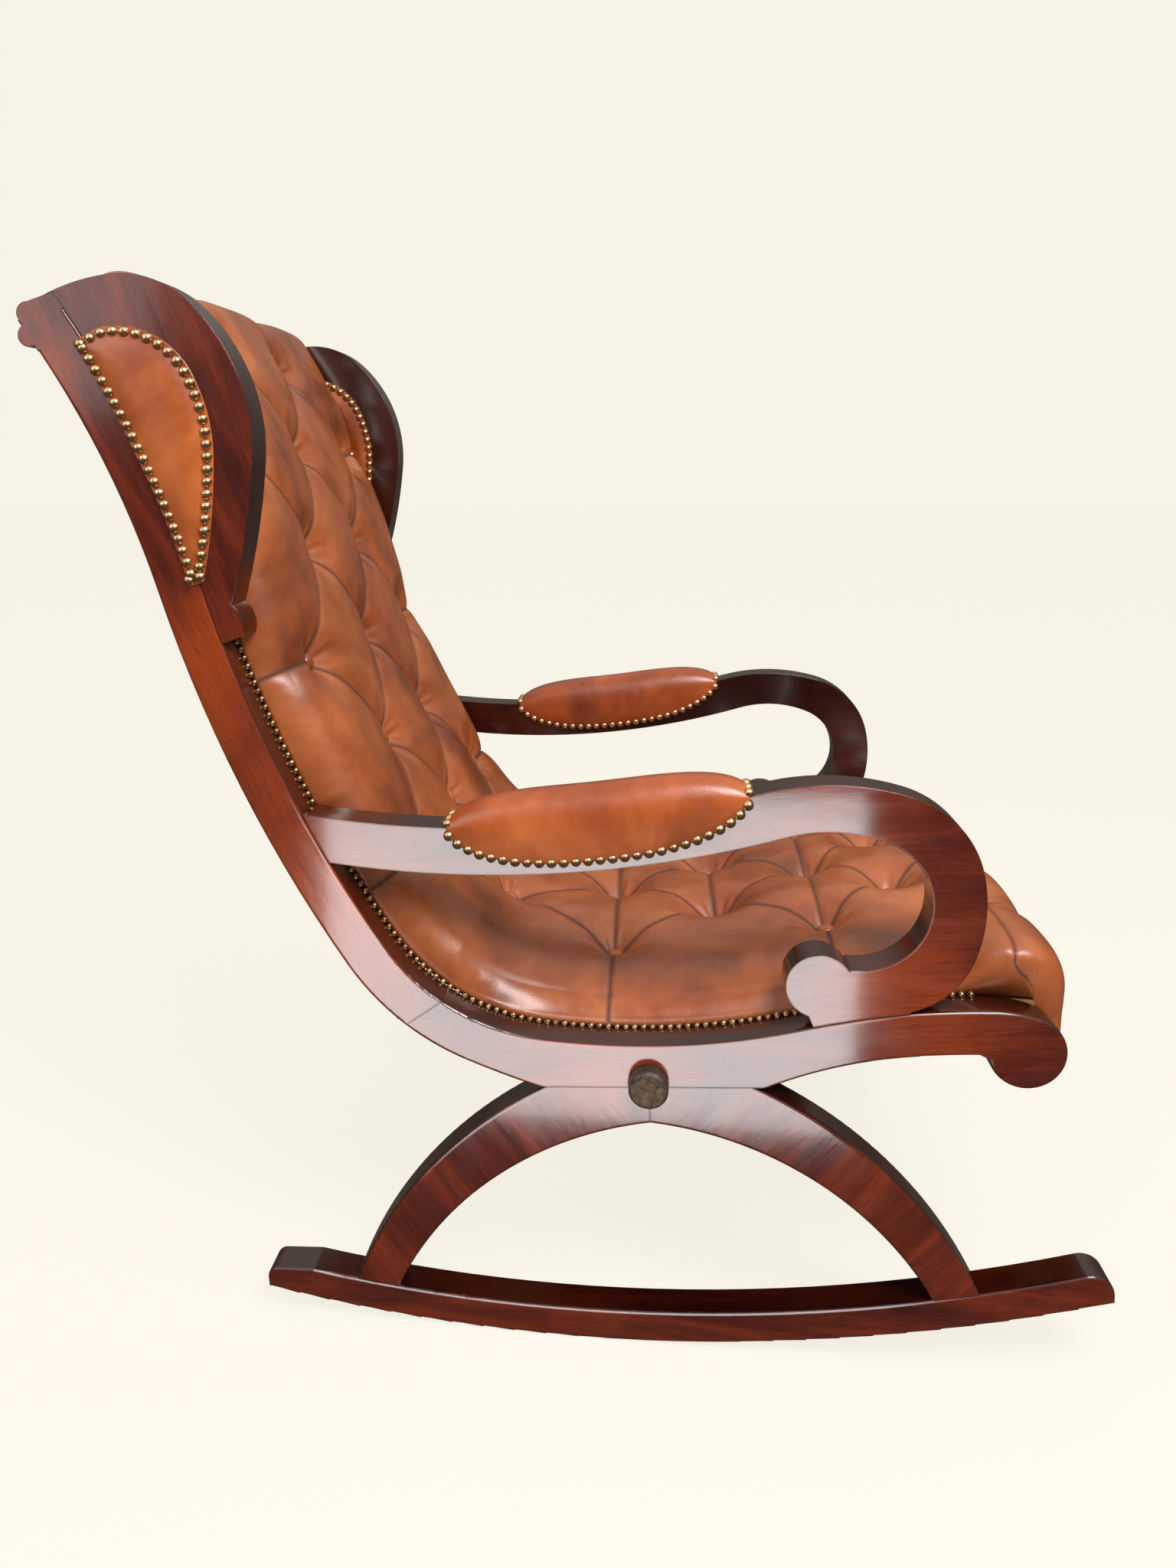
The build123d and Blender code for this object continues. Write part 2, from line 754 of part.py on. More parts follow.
with BuildPart() as dust_cover:
    with BuildSketch(side):
        cover_face = deck - batten_depth - soft_gap
        add(band(cover_face, cover_face - lining, front_rail_end + soft_gap, rear_rail_at - soft_gap))
    extrude(amount=soft_half, both=True)
keep(dust_cover.part, "dust_cover")

# ---------------------------------------------------------------- upholstery


def cushion_face(inset, low):
    """Side view of the upholstery, `inset` inside the leather but down to the line `low`."""
    front_gap = direction(place(front_at)[1] + 180) * soft_gap
    with BuildSketch() as face:
        with BuildLine():
            parallel(low, front_at, top_at - inset)
            parallel(crown - inset, front_roll_at, top_at - crest_roll_setback)
            heading = place(front_roll_at)[1] - 180
            over_front = (front_roll_radius - inset, -90 - heading)
            down_front = (front_fall_radius - inset, -front_fall_turn)
            nose = arc_chain(beside(front_roll_at, crown - inset), heading, [over_front, down_front])
            apron = beside(front_at, inset - front_roll_drop) + front_gap
            Polyline(nose, apron, beside(front_at, low) + front_gap, beside(front_at, low))
            over_crest = (crest_roll_radius - inset, crest_roll_turn)
            shoulder = beside(top_at - crest_roll_setback, crown - inset)
            crest = arc_chain(shoulder, place(top_at - crest_roll_setback)[1], [over_crest])
            Line(crest, beside(top_at - inset, low))
        make_face()
    return face.sketch


def cushion(inset, low=deck_top):
    """Upholstery from side to side, rounded towards both side frames."""
    half = soft_half - inset
    rounding = side_round - inset
    with BuildPart() as block:
        with BuildSketch(side):
            add(cushion_face(inset, low))
        extrude(amount=half - rounding, both=True)
        for facing in (-1, 1):
            for angle in (0, 30, 60, 80):
                reach = half - rounding + rounding * sin(radians(angle))
                drop = rounding * (1 - cos(radians(angle)))
                with BuildSketch(side.offset(facing * reach)):
                    add(cushion_face(inset + drop, low))
            loft(ruled=True)
    return block.part


with BuildPart() as leather_cover:
    add(cushion(0))
    add(cushion(leather, deck_top - leather), mode=Mode.SUBTRACT)
keep(leather_cover.part, "leather_cover")

# Hair stuffing under the leather, in one piece for the seat and one for the back

hollow_point, hollow_heading = place(hollow_at)
hollow_origin = side.from_local_coords(hollow_point)
hollow_along = direction(hollow_heading)
hollow = Plane(origin=hollow_origin, z_dir=side.x_dir * hollow_along.X + side.y_dir * hollow_along.Y)
filling = cushion(leather + soft_gap)

with BuildPart() as back_stuffing:
    add(filling)
    split(bisect_by=hollow.offset(soft_gap / 2), keep=Keep.TOP)
keep(back_stuffing.part, "back_stuffing")

with BuildPart() as seat_stuffing:
    add(filling)
    split(bisect_by=hollow.offset(-soft_gap / 2), keep=Keep.BOTTOM)
keep(seat_stuffing.part, "seat_stuffing")

# ---------------------------------------------------------------- dowels


def dowel_set(spots, name):
    """Dowels of one joint in both side frames."""
    with BuildPart() as dowels:
        with Locations(*[bar_plane(point, angle) for point, angle in spots]):
            Cylinder(dowel_diameter / 2, dowel_length)
        mirror(about=Plane.XZ)
    keep(dowels.part, name)


dowel_set(arch_spots, "arch_dowels")
dowel_set(foot_spots, "foot_dowels")
dowel_set(scarf_spots, "stile_dowels")
dowel_set(arm_spots + curl_spots, "arm_dowels")
dowel_set(wing_spots, "wing_dowels")
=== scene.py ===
import math

import bmesh
import bpy
import numpy as np
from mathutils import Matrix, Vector


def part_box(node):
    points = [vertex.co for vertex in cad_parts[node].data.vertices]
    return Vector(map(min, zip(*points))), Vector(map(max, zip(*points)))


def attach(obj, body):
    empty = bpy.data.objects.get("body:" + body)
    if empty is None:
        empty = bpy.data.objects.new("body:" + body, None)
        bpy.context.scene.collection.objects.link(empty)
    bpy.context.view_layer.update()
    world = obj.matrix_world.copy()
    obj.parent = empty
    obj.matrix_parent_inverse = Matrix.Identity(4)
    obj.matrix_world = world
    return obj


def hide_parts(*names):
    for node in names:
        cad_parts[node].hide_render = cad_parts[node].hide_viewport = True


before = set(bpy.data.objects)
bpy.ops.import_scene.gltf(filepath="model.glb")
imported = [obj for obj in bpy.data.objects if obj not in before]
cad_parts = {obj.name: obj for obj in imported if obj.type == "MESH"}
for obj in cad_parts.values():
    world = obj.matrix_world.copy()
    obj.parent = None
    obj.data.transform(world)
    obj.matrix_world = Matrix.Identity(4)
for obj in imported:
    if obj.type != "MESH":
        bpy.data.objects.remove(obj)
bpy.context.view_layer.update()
print("rocker: frame loaded,", len(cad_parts), "nodes")

# The side frames lie on a leaning plane: x forward from the cross rod, y up, in mm.
# Across the chair runs world Y, with the sitter's right at minus.
plane = {
    "lean": 3.6,        # degrees
    "rodRise": 4,       # rod axis above the plane's origin
    "halfWidth": 310,   # to the outer faces of the side frames
    "board": 36,        # thickness of the side frames
}
leanSin, leanCos = math.sin(math.radians(plane["lean"])), math.cos(math.radians(plane["lean"]))
rodLow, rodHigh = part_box("cross_rod")
rodMiddle = [(low + high) / 2 for low, high in zip(rodLow, rodHigh)]
originX = rodMiddle[0] * 1000 + plane["rodRise"] * leanSin
originZ = rodMiddle[2] * 1000 - plane["rodRise"] * leanCos
innerFace = plane["halfWidth"] - plane["board"]


def toWorld(x, across, y):
    return (
        (originX + x * leanCos - y * leanSin) / 1000,
        across / 1000,
        (originZ + x * leanSin + y * leanCos) / 1000,
    )


def turnWorld(x, across, y):
    return (x * leanCos - y * leanSin, across, x * leanSin + y * leanCos)


def heading(angle):
    return np.array([math.cos(math.radians(angle)), math.sin(math.radians(angle))])


def arcEnd(point, angle, radius, turn):
    toCentre = math.copysign(radius, turn)
    return point + (heading(angle + 90) - heading(angle + turn + 90)) * toCentre


def walkArcs(point, angle, arcs, step):  # points and headings along tangent arcs
    path = [(np.array(point, float), angle)]
    for radius, turn in arcs:
        pieces = max(2, round(radius * math.radians(abs(turn)) / step))
        start = path[-1]
        for k in range(1, pieces + 1):
            part = turn * k / pieces
            path.append((arcEnd(start[0], start[1], radius, part), start[1] + part))
    return path


def ease(share):  # a soft start and end between 0 and 1
    return share * share * (3 - 2 * share)


# The line that seat and back follow, as tangent arcs (radius, left turn). The first two run
# back from the front edge to the rod, the others from there to the crest.
seatLine = [(704, 17.5), (657, -12.4), (768, -7.2), (200, -52.1), (1247, -17.5), (876, 18.4)]
lineRise = 42.5  # above the plane's origin, over the rod
arcLengths = [radius * math.radians(abs(turn)) for radius, turn in seatLine]
frontAt, topAt = -sum(arcLengths[:2]), sum(arcLengths[2:])
(frontRadius, frontTurn), (dishRadius, dishTurn) = seatLine[:2]
dishStart = arcEnd(np.array([0.0, lineRise]), 0, dishRadius, -dishTurn)
lineStart = arcEnd(dishStart, -dishTurn, frontRadius, -frontTurn)
lineHeading = 180 - dishTurn - frontTurn


def place(at):  # point and heading at a distance from the rod, up the back
    point, angle, left = lineStart, lineHeading, at - frontAt
    for (radius, turn), length in zip(seatLine, arcLengths):
        part = math.copysign(math.degrees(min(left, length) / radius), turn)
        point = arcEnd(point, angle, radius, part)
        angle += part
        left -= length
        if left <= 0:
            break
    return point, angle


def beside(at, ahead):
    point, angle = place(at)
    return point + heading(angle - 90) * ahead


# Small helpers for meshes


def makeMesh(name, points, faces, attributes=None):
    mesh = bpy.data.meshes.new(name)
    mesh.from_pydata([tuple(p) for p in points], [], faces)
    for key, values in (attributes or {}).items():
        layer = mesh.attributes.new(key, "FLOAT", "POINT")
        layer.data.foreach_set("value", np.asarray(values, np.float32))
    mesh.update()
    mesh.polygons.foreach_set("use_smooth", [True] * len(mesh.polygons))
    piece = bpy.data.objects.new(name, mesh)
    bpy.context.scene.collection.objects.link(piece)
    return piece


def gridFaces(rows, columns):  # quads between rings of points, each ring closed
    faces = []
    for i in range(rows - 1):
        for j in range(columns):
            a, b = i * columns + j, i * columns + (j + 1) % columns
            faces.append((a, b, b + columns, a + columns))
    return faces


def faceOut(piece, weld=0.00002):  # all normals outward on a closed piece
    work = bmesh.new()
    work.from_mesh(piece.data)
    bmesh.ops.remove_doubles(work, verts=work.verts, dist=weld)
    bmesh.ops.recalc_face_normals(work, faces=work.faces)
    work.to_mesh(piece.data)
    work.free()
    piece.data.update()


def wear(piece, material):
    piece.data.materials.clear()
    piece.data.materials.append(material)


# Materials. Sizes of marks are in mm; a pattern's scale is how many of them lie in a metre.


def paint(code):  # sRGB hex to linear
    parts = [int(code[i:i + 2], 16) / 255 for i in (1, 3, 5)]
    linear = [c / 12.92 if c <= 0.04045 else ((c + 0.055) / 1.055) ** 2.4 for c in parts]
    return (*linear, 1.0)


def join(tree, node, links):  # a source is a socket, or a node for its first output
    for key, source in links.items():
        tree.links.new(getattr(source, "outputs", [source])[0], node.inputs[key])


# A colour mix takes its amount at 0 and its colours at 6 and 7, and gives outputs[2].
def addNode(tree, kind, settings=None, links=None):
    node = tree.nodes.new(kind)
    for key, value in (settings or {}).items():
        if key == "stops":  # of a colour ramp: position, then a hex colour or a grey
            bar = node.color_ramp.elements
            while len(bar) < len(value):
                bar.new(0.5)
            for element, (position, tone) in zip(bar, value):
                element.position = position
                element.color = paint(tone) if isinstance(tone, str) else (tone, tone, tone, 1)
        elif isinstance(key, str) and hasattr(node, key):
            setattr(node, key, value)
        else:
            node.inputs[key].default_value = value
    join(tree, node, links or {})
    return node


def newMaterial(name, values):
    material = bpy.data.materials.new(name)
    material.use_nodes = True
    tree = material.node_tree
    surface = tree.nodes["Principled BSDF"]
    for key, value in values.items():
        surface.inputs[key].default_value = value
    return material, tree, surface


def woodGrain(tree, spot, turn, layers):  # layers of long marks that run along the member
    along = addNode(tree, "ShaderNodeMapping", {"Rotation": (0, math.radians(turn), 0)}, {"Vector": spot})
    grain = {}
    for layer, (marks, detail, roughness, distortion) in layers.items():
        perMetre = tuple(1000 / size for size in marks)
        drawn = addNode(tree, "ShaderNodeMapping", {"Scale": perMetre}, {"Vector": along})
        grain[layer] = addNode(
            tree, "ShaderNodeTexNoise",
            {"Scale": 1.0, "Detail": detail, "Roughness": roughness, "Distortion": distortion},
            {"Vector": drawn},
        )
    return grain


# French-polished mahogany: a deep wet gloss over dark red figure and short open pores
mahogany = {
    "dark": "#2A0C08", "mid": "#521B11", "bright": "#8A3514", "glow": "#A8461A",
    "stainAndPaintedShade": "#8C7C74",      # painted shade: edges and inner faces are multiplied by this dark tone, the outward faces keep the plain colour
    "unshadedFrom": (0.45, 0.9),
    "gloss": 0.1, "smearGloss": 0.1,
    "edgeRound": 0.0022,     # metres
    "cloud": 181.8,          # mark sizes
    "grain": {               # mark sizes along, across and up, detail, roughness, distortion
        "figure": ((200, 29.41, 26.32), 5, 0.6, 0.8),
        "streak": ((62.5, 3.333, 2.381), 3, 0.6, 0.3),
        "pores": ((16.67, 0.9091, 0.6667), 2, 0.5, 0.0),
        "smear": ((71.43, 16.67, 16.67), 5, 0.65, 0.0),   # left by the polisher's rag
    },
}


def makeMahogany(name, turn, warmth):
    m = mahogany
    material, tree, surface = newMaterial(
        name, {"Specular IOR Level": 0.6, "Coat Weight": 0.3, "Coat Roughness": 0.08}
    )
    spot = addNode(tree, "ShaderNodeTexCoord").outputs["Object"]
    grain = woodGrain(tree, spot, turn, m["grain"])
    cloud = addNode(
        tree, "ShaderNodeTexNoise",
        {"Scale": 1000 / m["cloud"], "Detail": 3, "Roughness": 0.5, "Distortion": 0.0},
        {"Vector": spot},
    )
    base = addNode(
        tree, "ShaderNodeValToRGB",
        {"stops": [(0.2, m["dark"]), (0.5, m["mid"]), (0.95, m["bright"])]}, {0: grain["figure"]},
    )
    glowing = addNode(
        tree, "ShaderNodeValToRGB",
        {"stops": [(0.45 + 0.2 * (0.5 - warmth), 0.0), (0.68, 0.8 * warmth + 0.05)]}, {0: cloud},
    )
    warm = addNode(
        tree, "ShaderNodeMix", {"data_type": "RGBA", 7: paint(m["glow"])}, {0: glowing, 6: base}
    )
    lines = addNode(
        tree, "ShaderNodeValToRGB", {"stops": [(0.35, 0.45), (0.6, 1.0)]}, {0: grain["streak"]}
    )
    lined = addNode(
        tree, "ShaderNodeMix", {"data_type": "RGBA", "blend_type": "MULTIPLY", 0: 0.45},
        {6: warm.outputs[2], 7: lines},
    )
    dots = addNode(
        tree, "ShaderNodeValToRGB", {"stops": [(0.36, 0.25), (0.46, 1.0)]}, {0: grain["pores"]}
    )
    fine = addNode(
        tree, "ShaderNodeMix", {"data_type": "RGBA", "blend_type": "MULTIPLY", 0: 0.35},
        {6: lined.outputs[2], 7: dots},
    )
    # how far a face looks out of the chair, sideways
    facing = addNode(tree, "ShaderNodeNewGeometry").outputs["True Normal"]
    faceY = addNode(tree, "ShaderNodeSeparateXYZ", links={0: facing}).outputs["Y"]
    placeY = addNode(tree, "ShaderNodeSeparateXYZ", links={0: spot}).outputs["Y"]
    hand = addNode(tree, "ShaderNodeMath", {"operation": "SIGN"}, {0: placeY})
    outward = addNode(tree, "ShaderNodeMath", {"operation": "MULTIPLY"}, {0: faceY, 1: hand})
    unshaded = addNode(
        tree, "ShaderNodeValToRGB",
        {"stops": [(m["unshadedFrom"][0], 0.0), (m["unshadedFrom"][1], 1.0)]}, {0: outward},
    )
    # painted shade: every face but the outward-facing sides is darkened by the dark tone
    paintedShadeTone = addNode(
        tree, "ShaderNodeMix",
        {"data_type": "RGBA", "blend_type": "MULTIPLY", 0: 1.0, 7: paint(m["stainAndPaintedShade"])},
        {6: fine.outputs[2]},
    )
    colour = addNode(
        tree, "ShaderNodeMix", {"data_type": "RGBA"},
        {0: unshaded, 6: paintedShadeTone.outputs[2], 7: fine.outputs[2]},
    )
    rough = addNode(
        tree, "ShaderNodeValToRGB",
        {"stops": [(0.3, m["gloss"]), (0.75, m["gloss"] + m["smearGloss"])]}, {0: grain["smear"]},
    )
    edge = addNode(tree, "ShaderNodeBevel", {"samples": 4, "Radius": m["edgeRound"]})
    waved = addNode(
        tree, "ShaderNodeBump", {"Strength": 0.22, "Distance": 0.0006},
        {"Height": grain["smear"], "Normal": edge},
    )
    pored = addNode(
        tree, "ShaderNodeBump", {"Strength": 0.1, "Distance": 0.0002},
        {"Height": grain["pores"], "Normal": waved},
    )
    join(tree, surface, {"Base Color": colour.outputs[2], "Roughness": rough, "Normal": pored})
    return material


# Unpolished beech of rails and dowels: dull and dry, with short pale streaks
beech = {
    "rails": ("#6E4A2C", "#A87C50"), "railRough": 0.6,
    "dowels": ("#8A6844", "#B8925F"), "dowelRough": 0.55,
    "grain": {  # as for the mahogany
        "figure": ((25, 125, 16.67), 5, 0.6, 0.6),
        "fine": ((2.5, 33.33, 2), 3, 0.6, 0.0),
    },
}


def makeBeech(name, tones, roughness):
    material, tree, surface = newMaterial(name, {})
    spot = addNode(tree, "ShaderNodeTexCoord").outputs["Object"]
    grain = woodGrain(tree, spot, 0, beech["grain"])
    base = addNode(
        tree, "ShaderNodeValToRGB", {"stops": [(0.3, tones[0]), (0.7, tones[1])]},
        {0: grain["figure"]},
    )
    lines = addNode(
        tree, "ShaderNodeValToRGB", {"stops": [(0.35, 0.5), (0.6, 1.0)]}, {0: grain["fine"]}
    )
    colour = addNode(
        tree, "ShaderNodeMix", {"data_type": "RGBA", "blend_type": "MULTIPLY", 0: 0.5},
        {6: base, 7: lines},
    )
    rough = addNode(
        tree, "ShaderNodeValToRGB", {"stops": [(0.3, roughness), (0.7, roughness + 0.15)]},
        {0: grain["fine"]},
    )
    bump = addNode(
        tree, "ShaderNodeBump", {"Strength": 0.25, "Distance": 0.0003}, {"Height": grain["fine"]}
    )
    join(tree, surface, {"Base Color": colour.outputs[2], "Roughness": rough, "Normal": bump})
    return material


# Sawn end of the rod: grey weathered end grain with rings and drying cracks, dark at the rim
rodEnd = {
    "tones": ("#3A2A20", "#5E4A3C", "#7C6856"), "rim": "#1C100B",
    "ringPitch": 1.208, "ringWobble": 9.0, "wobble": 8.333, "fleck": 6.25, "crackCell": 29.41,
    "rimFrom": (0.0150, 0.0182),  # metres from the rod's axis
}


def makeRodEnd():
    r = rodEnd
    material, tree, surface = newMaterial("rodEndGrain", {"Roughness": 0.55})
    spot = addNode(tree, "ShaderNodeTexCoord").outputs["Object"]
    centred = addNode(
        tree, "ShaderNodeMapping", {"Location": (-rodMiddle[0], 0, -rodMiddle[2])}, {"Vector": spot}
    )
    flat = addNode(tree, "ShaderNodeMapping", {"Scale": (1, 0, 1)}, {"Vector": centred})
    reach = addNode(
        tree, "ShaderNodeVectorMath", {"operation": "LENGTH"}, {0: flat}
    ).outputs["Value"]
    wobble, fleck = [
        addNode(
            tree, "ShaderNodeTexNoise",
            {"Scale": 1000 / size, "Detail": detail, "Roughness": roughness, "Distortion": 0.0},
            {"Vector": flat},
        )
        for size, detail, roughness in ((r["wobble"], 3, 0.6), (r["fleck"], 5, 0.65))
    ]
    shift = addNode(tree, "ShaderNodeMath", {"operation": "MULTIPLY", 1: r["ringWobble"]}, {0: wobble})
    phase = addNode(
        tree, "ShaderNodeMath", {"operation": "MULTIPLY_ADD", 1: math.tau * 1000 / r["ringPitch"]},
        {0: reach, 2: shift},
    )
    rings = addNode(tree, "ShaderNodeMath", {"operation": "SINE"}, {0: phase})
    cracks = addNode(
        tree, "ShaderNodeTexVoronoi", {"feature": "DISTANCE_TO_EDGE", "Scale": 1000 / r["crackCell"]},
        {"Vector": flat},
    )
    grey = addNode(
        tree, "ShaderNodeValToRGB", {"stops": list(zip((0.3, 0.55, 0.8), r["tones"]))}, {0: fleck}
    )
    ringTone = addNode(tree, "ShaderNodeValToRGB", {"stops": [(0.2, 0.55), (0.8, 1.0)]}, {0: rings})
    ringed = addNode(
        tree, "ShaderNodeMix", {"data_type": "RGBA", "blend_type": "MULTIPLY", 0: 0.25},
        {6: grey, 7: ringTone},
    )
    crackTone = addNode(
        tree, "ShaderNodeValToRGB", {"stops": [(0.004, 0.12), (0.02, 1.0)]}, {0: cracks}
    )
    cracked = addNode(
        tree, "ShaderNodeMix", {"data_type": "RGBA", "blend_type": "MULTIPLY", 0: 0.8},
        {6: ringed.outputs[2], 7: crackTone},
    )
    rim = addNode(
        tree, "ShaderNodeValToRGB", {"stops": list(zip(r["rimFrom"], (0.0, 1.0)))}, {0: reach}
    )
    colour = addNode(
        tree, "ShaderNodeMix", {"data_type": "RGBA", 7: paint(r["rim"])},
        {0: rim, 6: cracked.outputs[2]},
    )
    opened = addNode(tree, "ShaderNodeValToRGB", {"stops": [(0.0, 0.0), (0.05, 1.0)]}, {0: cracks})
    bump = addNode(
        tree, "ShaderNodeBump", {"Strength": 0.5, "Distance": 0.0006}, {"Height": opened}
    )
    join(tree, surface, {"Base Color": colour.outputs[2], "Normal": bump})
    return material


# Hand-dyed aniline cowhide: cloudy tan with a burnished shine, a fine pebble and soft crinkles
hide = {
    "seat": ("#5C2810", "#914820", "#B06234"),
    "arms": ("#64280C", "#98451A", "#BC642C"),
    "wings": ("#5C240A", "#8C3E12", "#B86428"),
    "deep": "#6A3012",       # a darker tone mixed into the outside back
    "creaseShade": "#32140A",     # painted shade in the pleats
    "cloud": 111.1, "mottle": 21.74, "crinkle": 5.882, "pebble": 1.1,
}


def makeLeather(name, tones, pleated=False, deepShare=0.0):
    material, tree, surface = newMaterial(
        name, {"Specular IOR Level": 0.6, "Coat Weight": 0.15, "Coat Roughness": 0.22}
    )
    spot = addNode(tree, "ShaderNodeTexCoord").outputs["Object"]
    cloud, mottle, crinkle = [
        addNode(
            tree, "ShaderNodeTexNoise",
            {"Scale": 1000 / hide[mark], "Detail": detail, "Roughness": 0.6, "Distortion": distortion},
            {"Vector": spot},
        )
        for mark, detail, distortion in (("cloud", 4, 0.4), ("mottle", 4, 0.0), ("crinkle", 5, 1.2))
    ]
    base = addNode(
        tree, "ShaderNodeValToRGB", {"stops": list(zip((0.25, 0.47, 0.72), tones))}, {0: cloud}
    )
    spots = addNode(tree, "ShaderNodeValToRGB", {"stops": [(0.3, 0.6), (0.65, 1.0)]}, {0: mottle})
    tone = addNode(
        tree, "ShaderNodeMix", {"data_type": "RGBA", "blend_type": "MULTIPLY", 0: 0.2},
        {6: base, 7: spots},
    ).outputs[2]
    rough = addNode(tree, "ShaderNodeValToRGB", {"stops": [(0.3, 0.27), (0.7, 0.4)]}, {0: mottle})
    if pleated:
        fold = addNode(tree, "ShaderNodeAttribute", {"attribute_name": "fold"}).outputs["Fac"]
        away = addNode(tree, "ShaderNodeMath", {"operation": "ABSOLUTE"}, {0: fold})
        # painted shade along the folds of the pleats
        creaseShade = addNode(
            tree, "ShaderNodeValToRGB",
            {"stops": [(0.0004, 0.85), (0.001, 0.3), (0.003, 0.0)]}, {0: away},  # metres away
        )
        tone = addNode(
            tree, "ShaderNodeMix", {"data_type": "RGBA", 7: paint(hide["creaseShade"])},
            {0: creaseShade, 6: tone},
        ).outputs[2]
        matt = addNode(tree, "ShaderNodeValToRGB", {"stops": [(0.001, 0.5), (0.005, 0.0)]}, {0: away})
        rough = addNode(tree, "ShaderNodeMath", {"operation": "ADD"}, {0: rough, 1: matt})
    if deepShare:
        tone = addNode(
            tree, "ShaderNodeMix", {"data_type": "RGBA", 0: deepShare, 7: paint(hide["deep"])}, {6: tone}
        ).outputs[2]
    pebble = addNode(tree, "ShaderNodeTexVoronoi", {"Scale": 1000 / hide["pebble"]}, {"Vector": spot})
    pebbled = addNode(
        tree, "ShaderNodeBump", {"Strength": 0.12, "Distance": 0.0003}, {"Height": pebble}
    )
    crinkled = addNode(
        tree, "ShaderNodeBump", {"Strength": 0.22, "Distance": 0.0009},
        {"Height": crinkle, "Normal": pebbled},
    )
    join(tree, surface, {"Base Color": tone, "Roughness": rough, "Normal": crinkled})
    return material


# Old brass of the domed nail heads: warm metal, rubbed bright on top, brown stains between
brassTones = {
    "antique": ("#8E6A44", "#CCA274", "#F2D2AA"),
    # a darker copy of the brass that paints shade on the small nails along the side frames
    "inShade": ("#5A4228", "#947250", "#D0AC80"),
    "stainAndPaintedShade": 3.846,
}


def makeBrass(name, tones):
    material, tree, surface = newMaterial(name, {"Metallic": 1.0})
    spot = addNode(tree, "ShaderNodeTexCoord").outputs["Object"]
    stainAndPaintedShade = addNode(
        tree, "ShaderNodeTexNoise",
        {"Scale": 1000 / brassTones["stainAndPaintedShade"], "Detail": 4, "Roughness": 0.6, "Distortion": 0.0},
        {"Vector": spot},
    )
    colour = addNode(
        tree, "ShaderNodeValToRGB", {"stops": list(zip((0.3, 0.45, 0.75), tones))}, {0: stainAndPaintedShade}
    )
    rough = addNode(tree, "ShaderNodeValToRGB", {"stops": [(0.3, 0.42), (0.7, 0.22)]}, {0: stainAndPaintedShade})
    join(tree, surface, {"Base Color": colour, "Roughness": rough})
    return material


# Woven jute and cotton: matt, with the threads crossing at their own pitch, and some dirt
weaves = {
    "jute": ("#8A744E", "#C2AB80", 2.0),     # two tones and the pitch of the threads
    "lining": ("#14110F", "#2E2925", 1.2),
    "dirt": 33.33,
}


def makeWeave(name, cloth):
    low, high, pitch = weaves[cloth]
    material, tree, surface = newMaterial(name, {"Roughness": 0.85})
    spot = addNode(tree, "ShaderNodeTexCoord").outputs["Object"]
    waves = [
        addNode(
            tree, "ShaderNodeTexWave",  # at scale 1 a wave is about a third of a metre long
            {"bands_direction": direction, "Scale": 1000 / pitch / 3, "Distortion": 0.6},
            {"Vector": spot},
        ).outputs[1]
        for direction in ("X", "Y")
    ]
    cross = addNode(tree, "ShaderNodeMath", {"operation": "MAXIMUM"}, {0: waves[0], 1: waves[1]})
    dirt = addNode(
        tree, "ShaderNodeTexNoise",
        {"Scale": 1000 / weaves["dirt"], "Detail": 4.0, "Roughness": 0.55, "Distortion": 0.0},
        {"Vector": spot},
    )
    base = addNode(
        tree, "ShaderNodeMix", {"data_type": "RGBA", 6: paint(low), 7: paint(high)}, {0: cross}
    )
    dusty = addNode(tree, "ShaderNodeValToRGB", {"stops": [(0.3, 0.5), (0.7, 1.0)]}, {0: dirt})
    colour = addNode(
        tree, "ShaderNodeMix", {"data_type": "RGBA", "blend_type": "MULTIPLY", 0: 0.4},
        {6: base.outputs[2], 7: dusty},
    )
    bump = addNode(tree, "ShaderNodeBump", {"Strength": 0.4, "Distance": 0.0005}, {"Height": cross})
    join(tree, surface, {"Base Color": colour.outputs[2], "Normal": bump})
    return material


seatLeather = makeLeather("pleatedHide", hide["seat"], pleated=True)
armLeather = makeLeather("armHide", hide["arms"])
buttonLeather = makeLeather("buttonHide", hide["seat"])
panelLeather = makeLeather("wingHide", hide["wings"])
brass = makeBrass("antiqueBrass", brassTones["antique"])
shadedBrass = makeBrass("shadedBrass", brassTones["inShade"])
print("rocker: materials made")

# Finishes on the frame's nodes

grainOf = {  # slope of the grain in degrees, and warmth, of each member
    "rocker": (0, 0.2), "rear_half_arch": (-52, 0.25), "front_half_arch": (52, 0.25),
    "seat_side_rail": (6, 0.35), "back_stile": (-62, 0.7), "wing_frame": (-66, 0.2),
    "scroll_arm": (4, 0.45),
}
for stem, (turn, warmth) in grainOf.items():
    finish = makeMahogany("mahogany_" + stem, turn, warmth)
    for hand in "RL":
        wear(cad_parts[stem + "_" + hand], finish)
plainFinishes = (
    (makeBeech("beechRails", beech["rails"], beech["railRough"]),
     ("back_lower_rail", "seat_rear_rail", "seat_front_rail", "seat_batten_R", "seat_batten_L",
      "back_batten_R", "back_batten_L")),
    (makeBeech("beechDowels", beech["dowels"], beech["dowelRough"]),
     ("arch_dowels", "arm_dowels", "foot_dowels", "stile_dowels", "wing_dowels")),
    (makeMahogany("mahogany_crest", 90, 0.3), ("crest_rail",)),
    (makeRodEnd(), ("cross_rod",)),
    (makeWeave("juteWebbing", "jute"), ("seat_webbing", "back_webbing")),
    (makeWeave("blackLining", "lining"), ("dust_cover",)),
    (makeLeather("outsideBackHide", hide["seat"], deepShare=0.3), ("outside_back_panel",)),
)
for finish, names in plainFinishes:
    for name in names:
        wear(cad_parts[name], finish)
print("rocker: frame dressed")

# Buttoned leather of seat and back. It is shaped as if laid flat, then bent along the line.

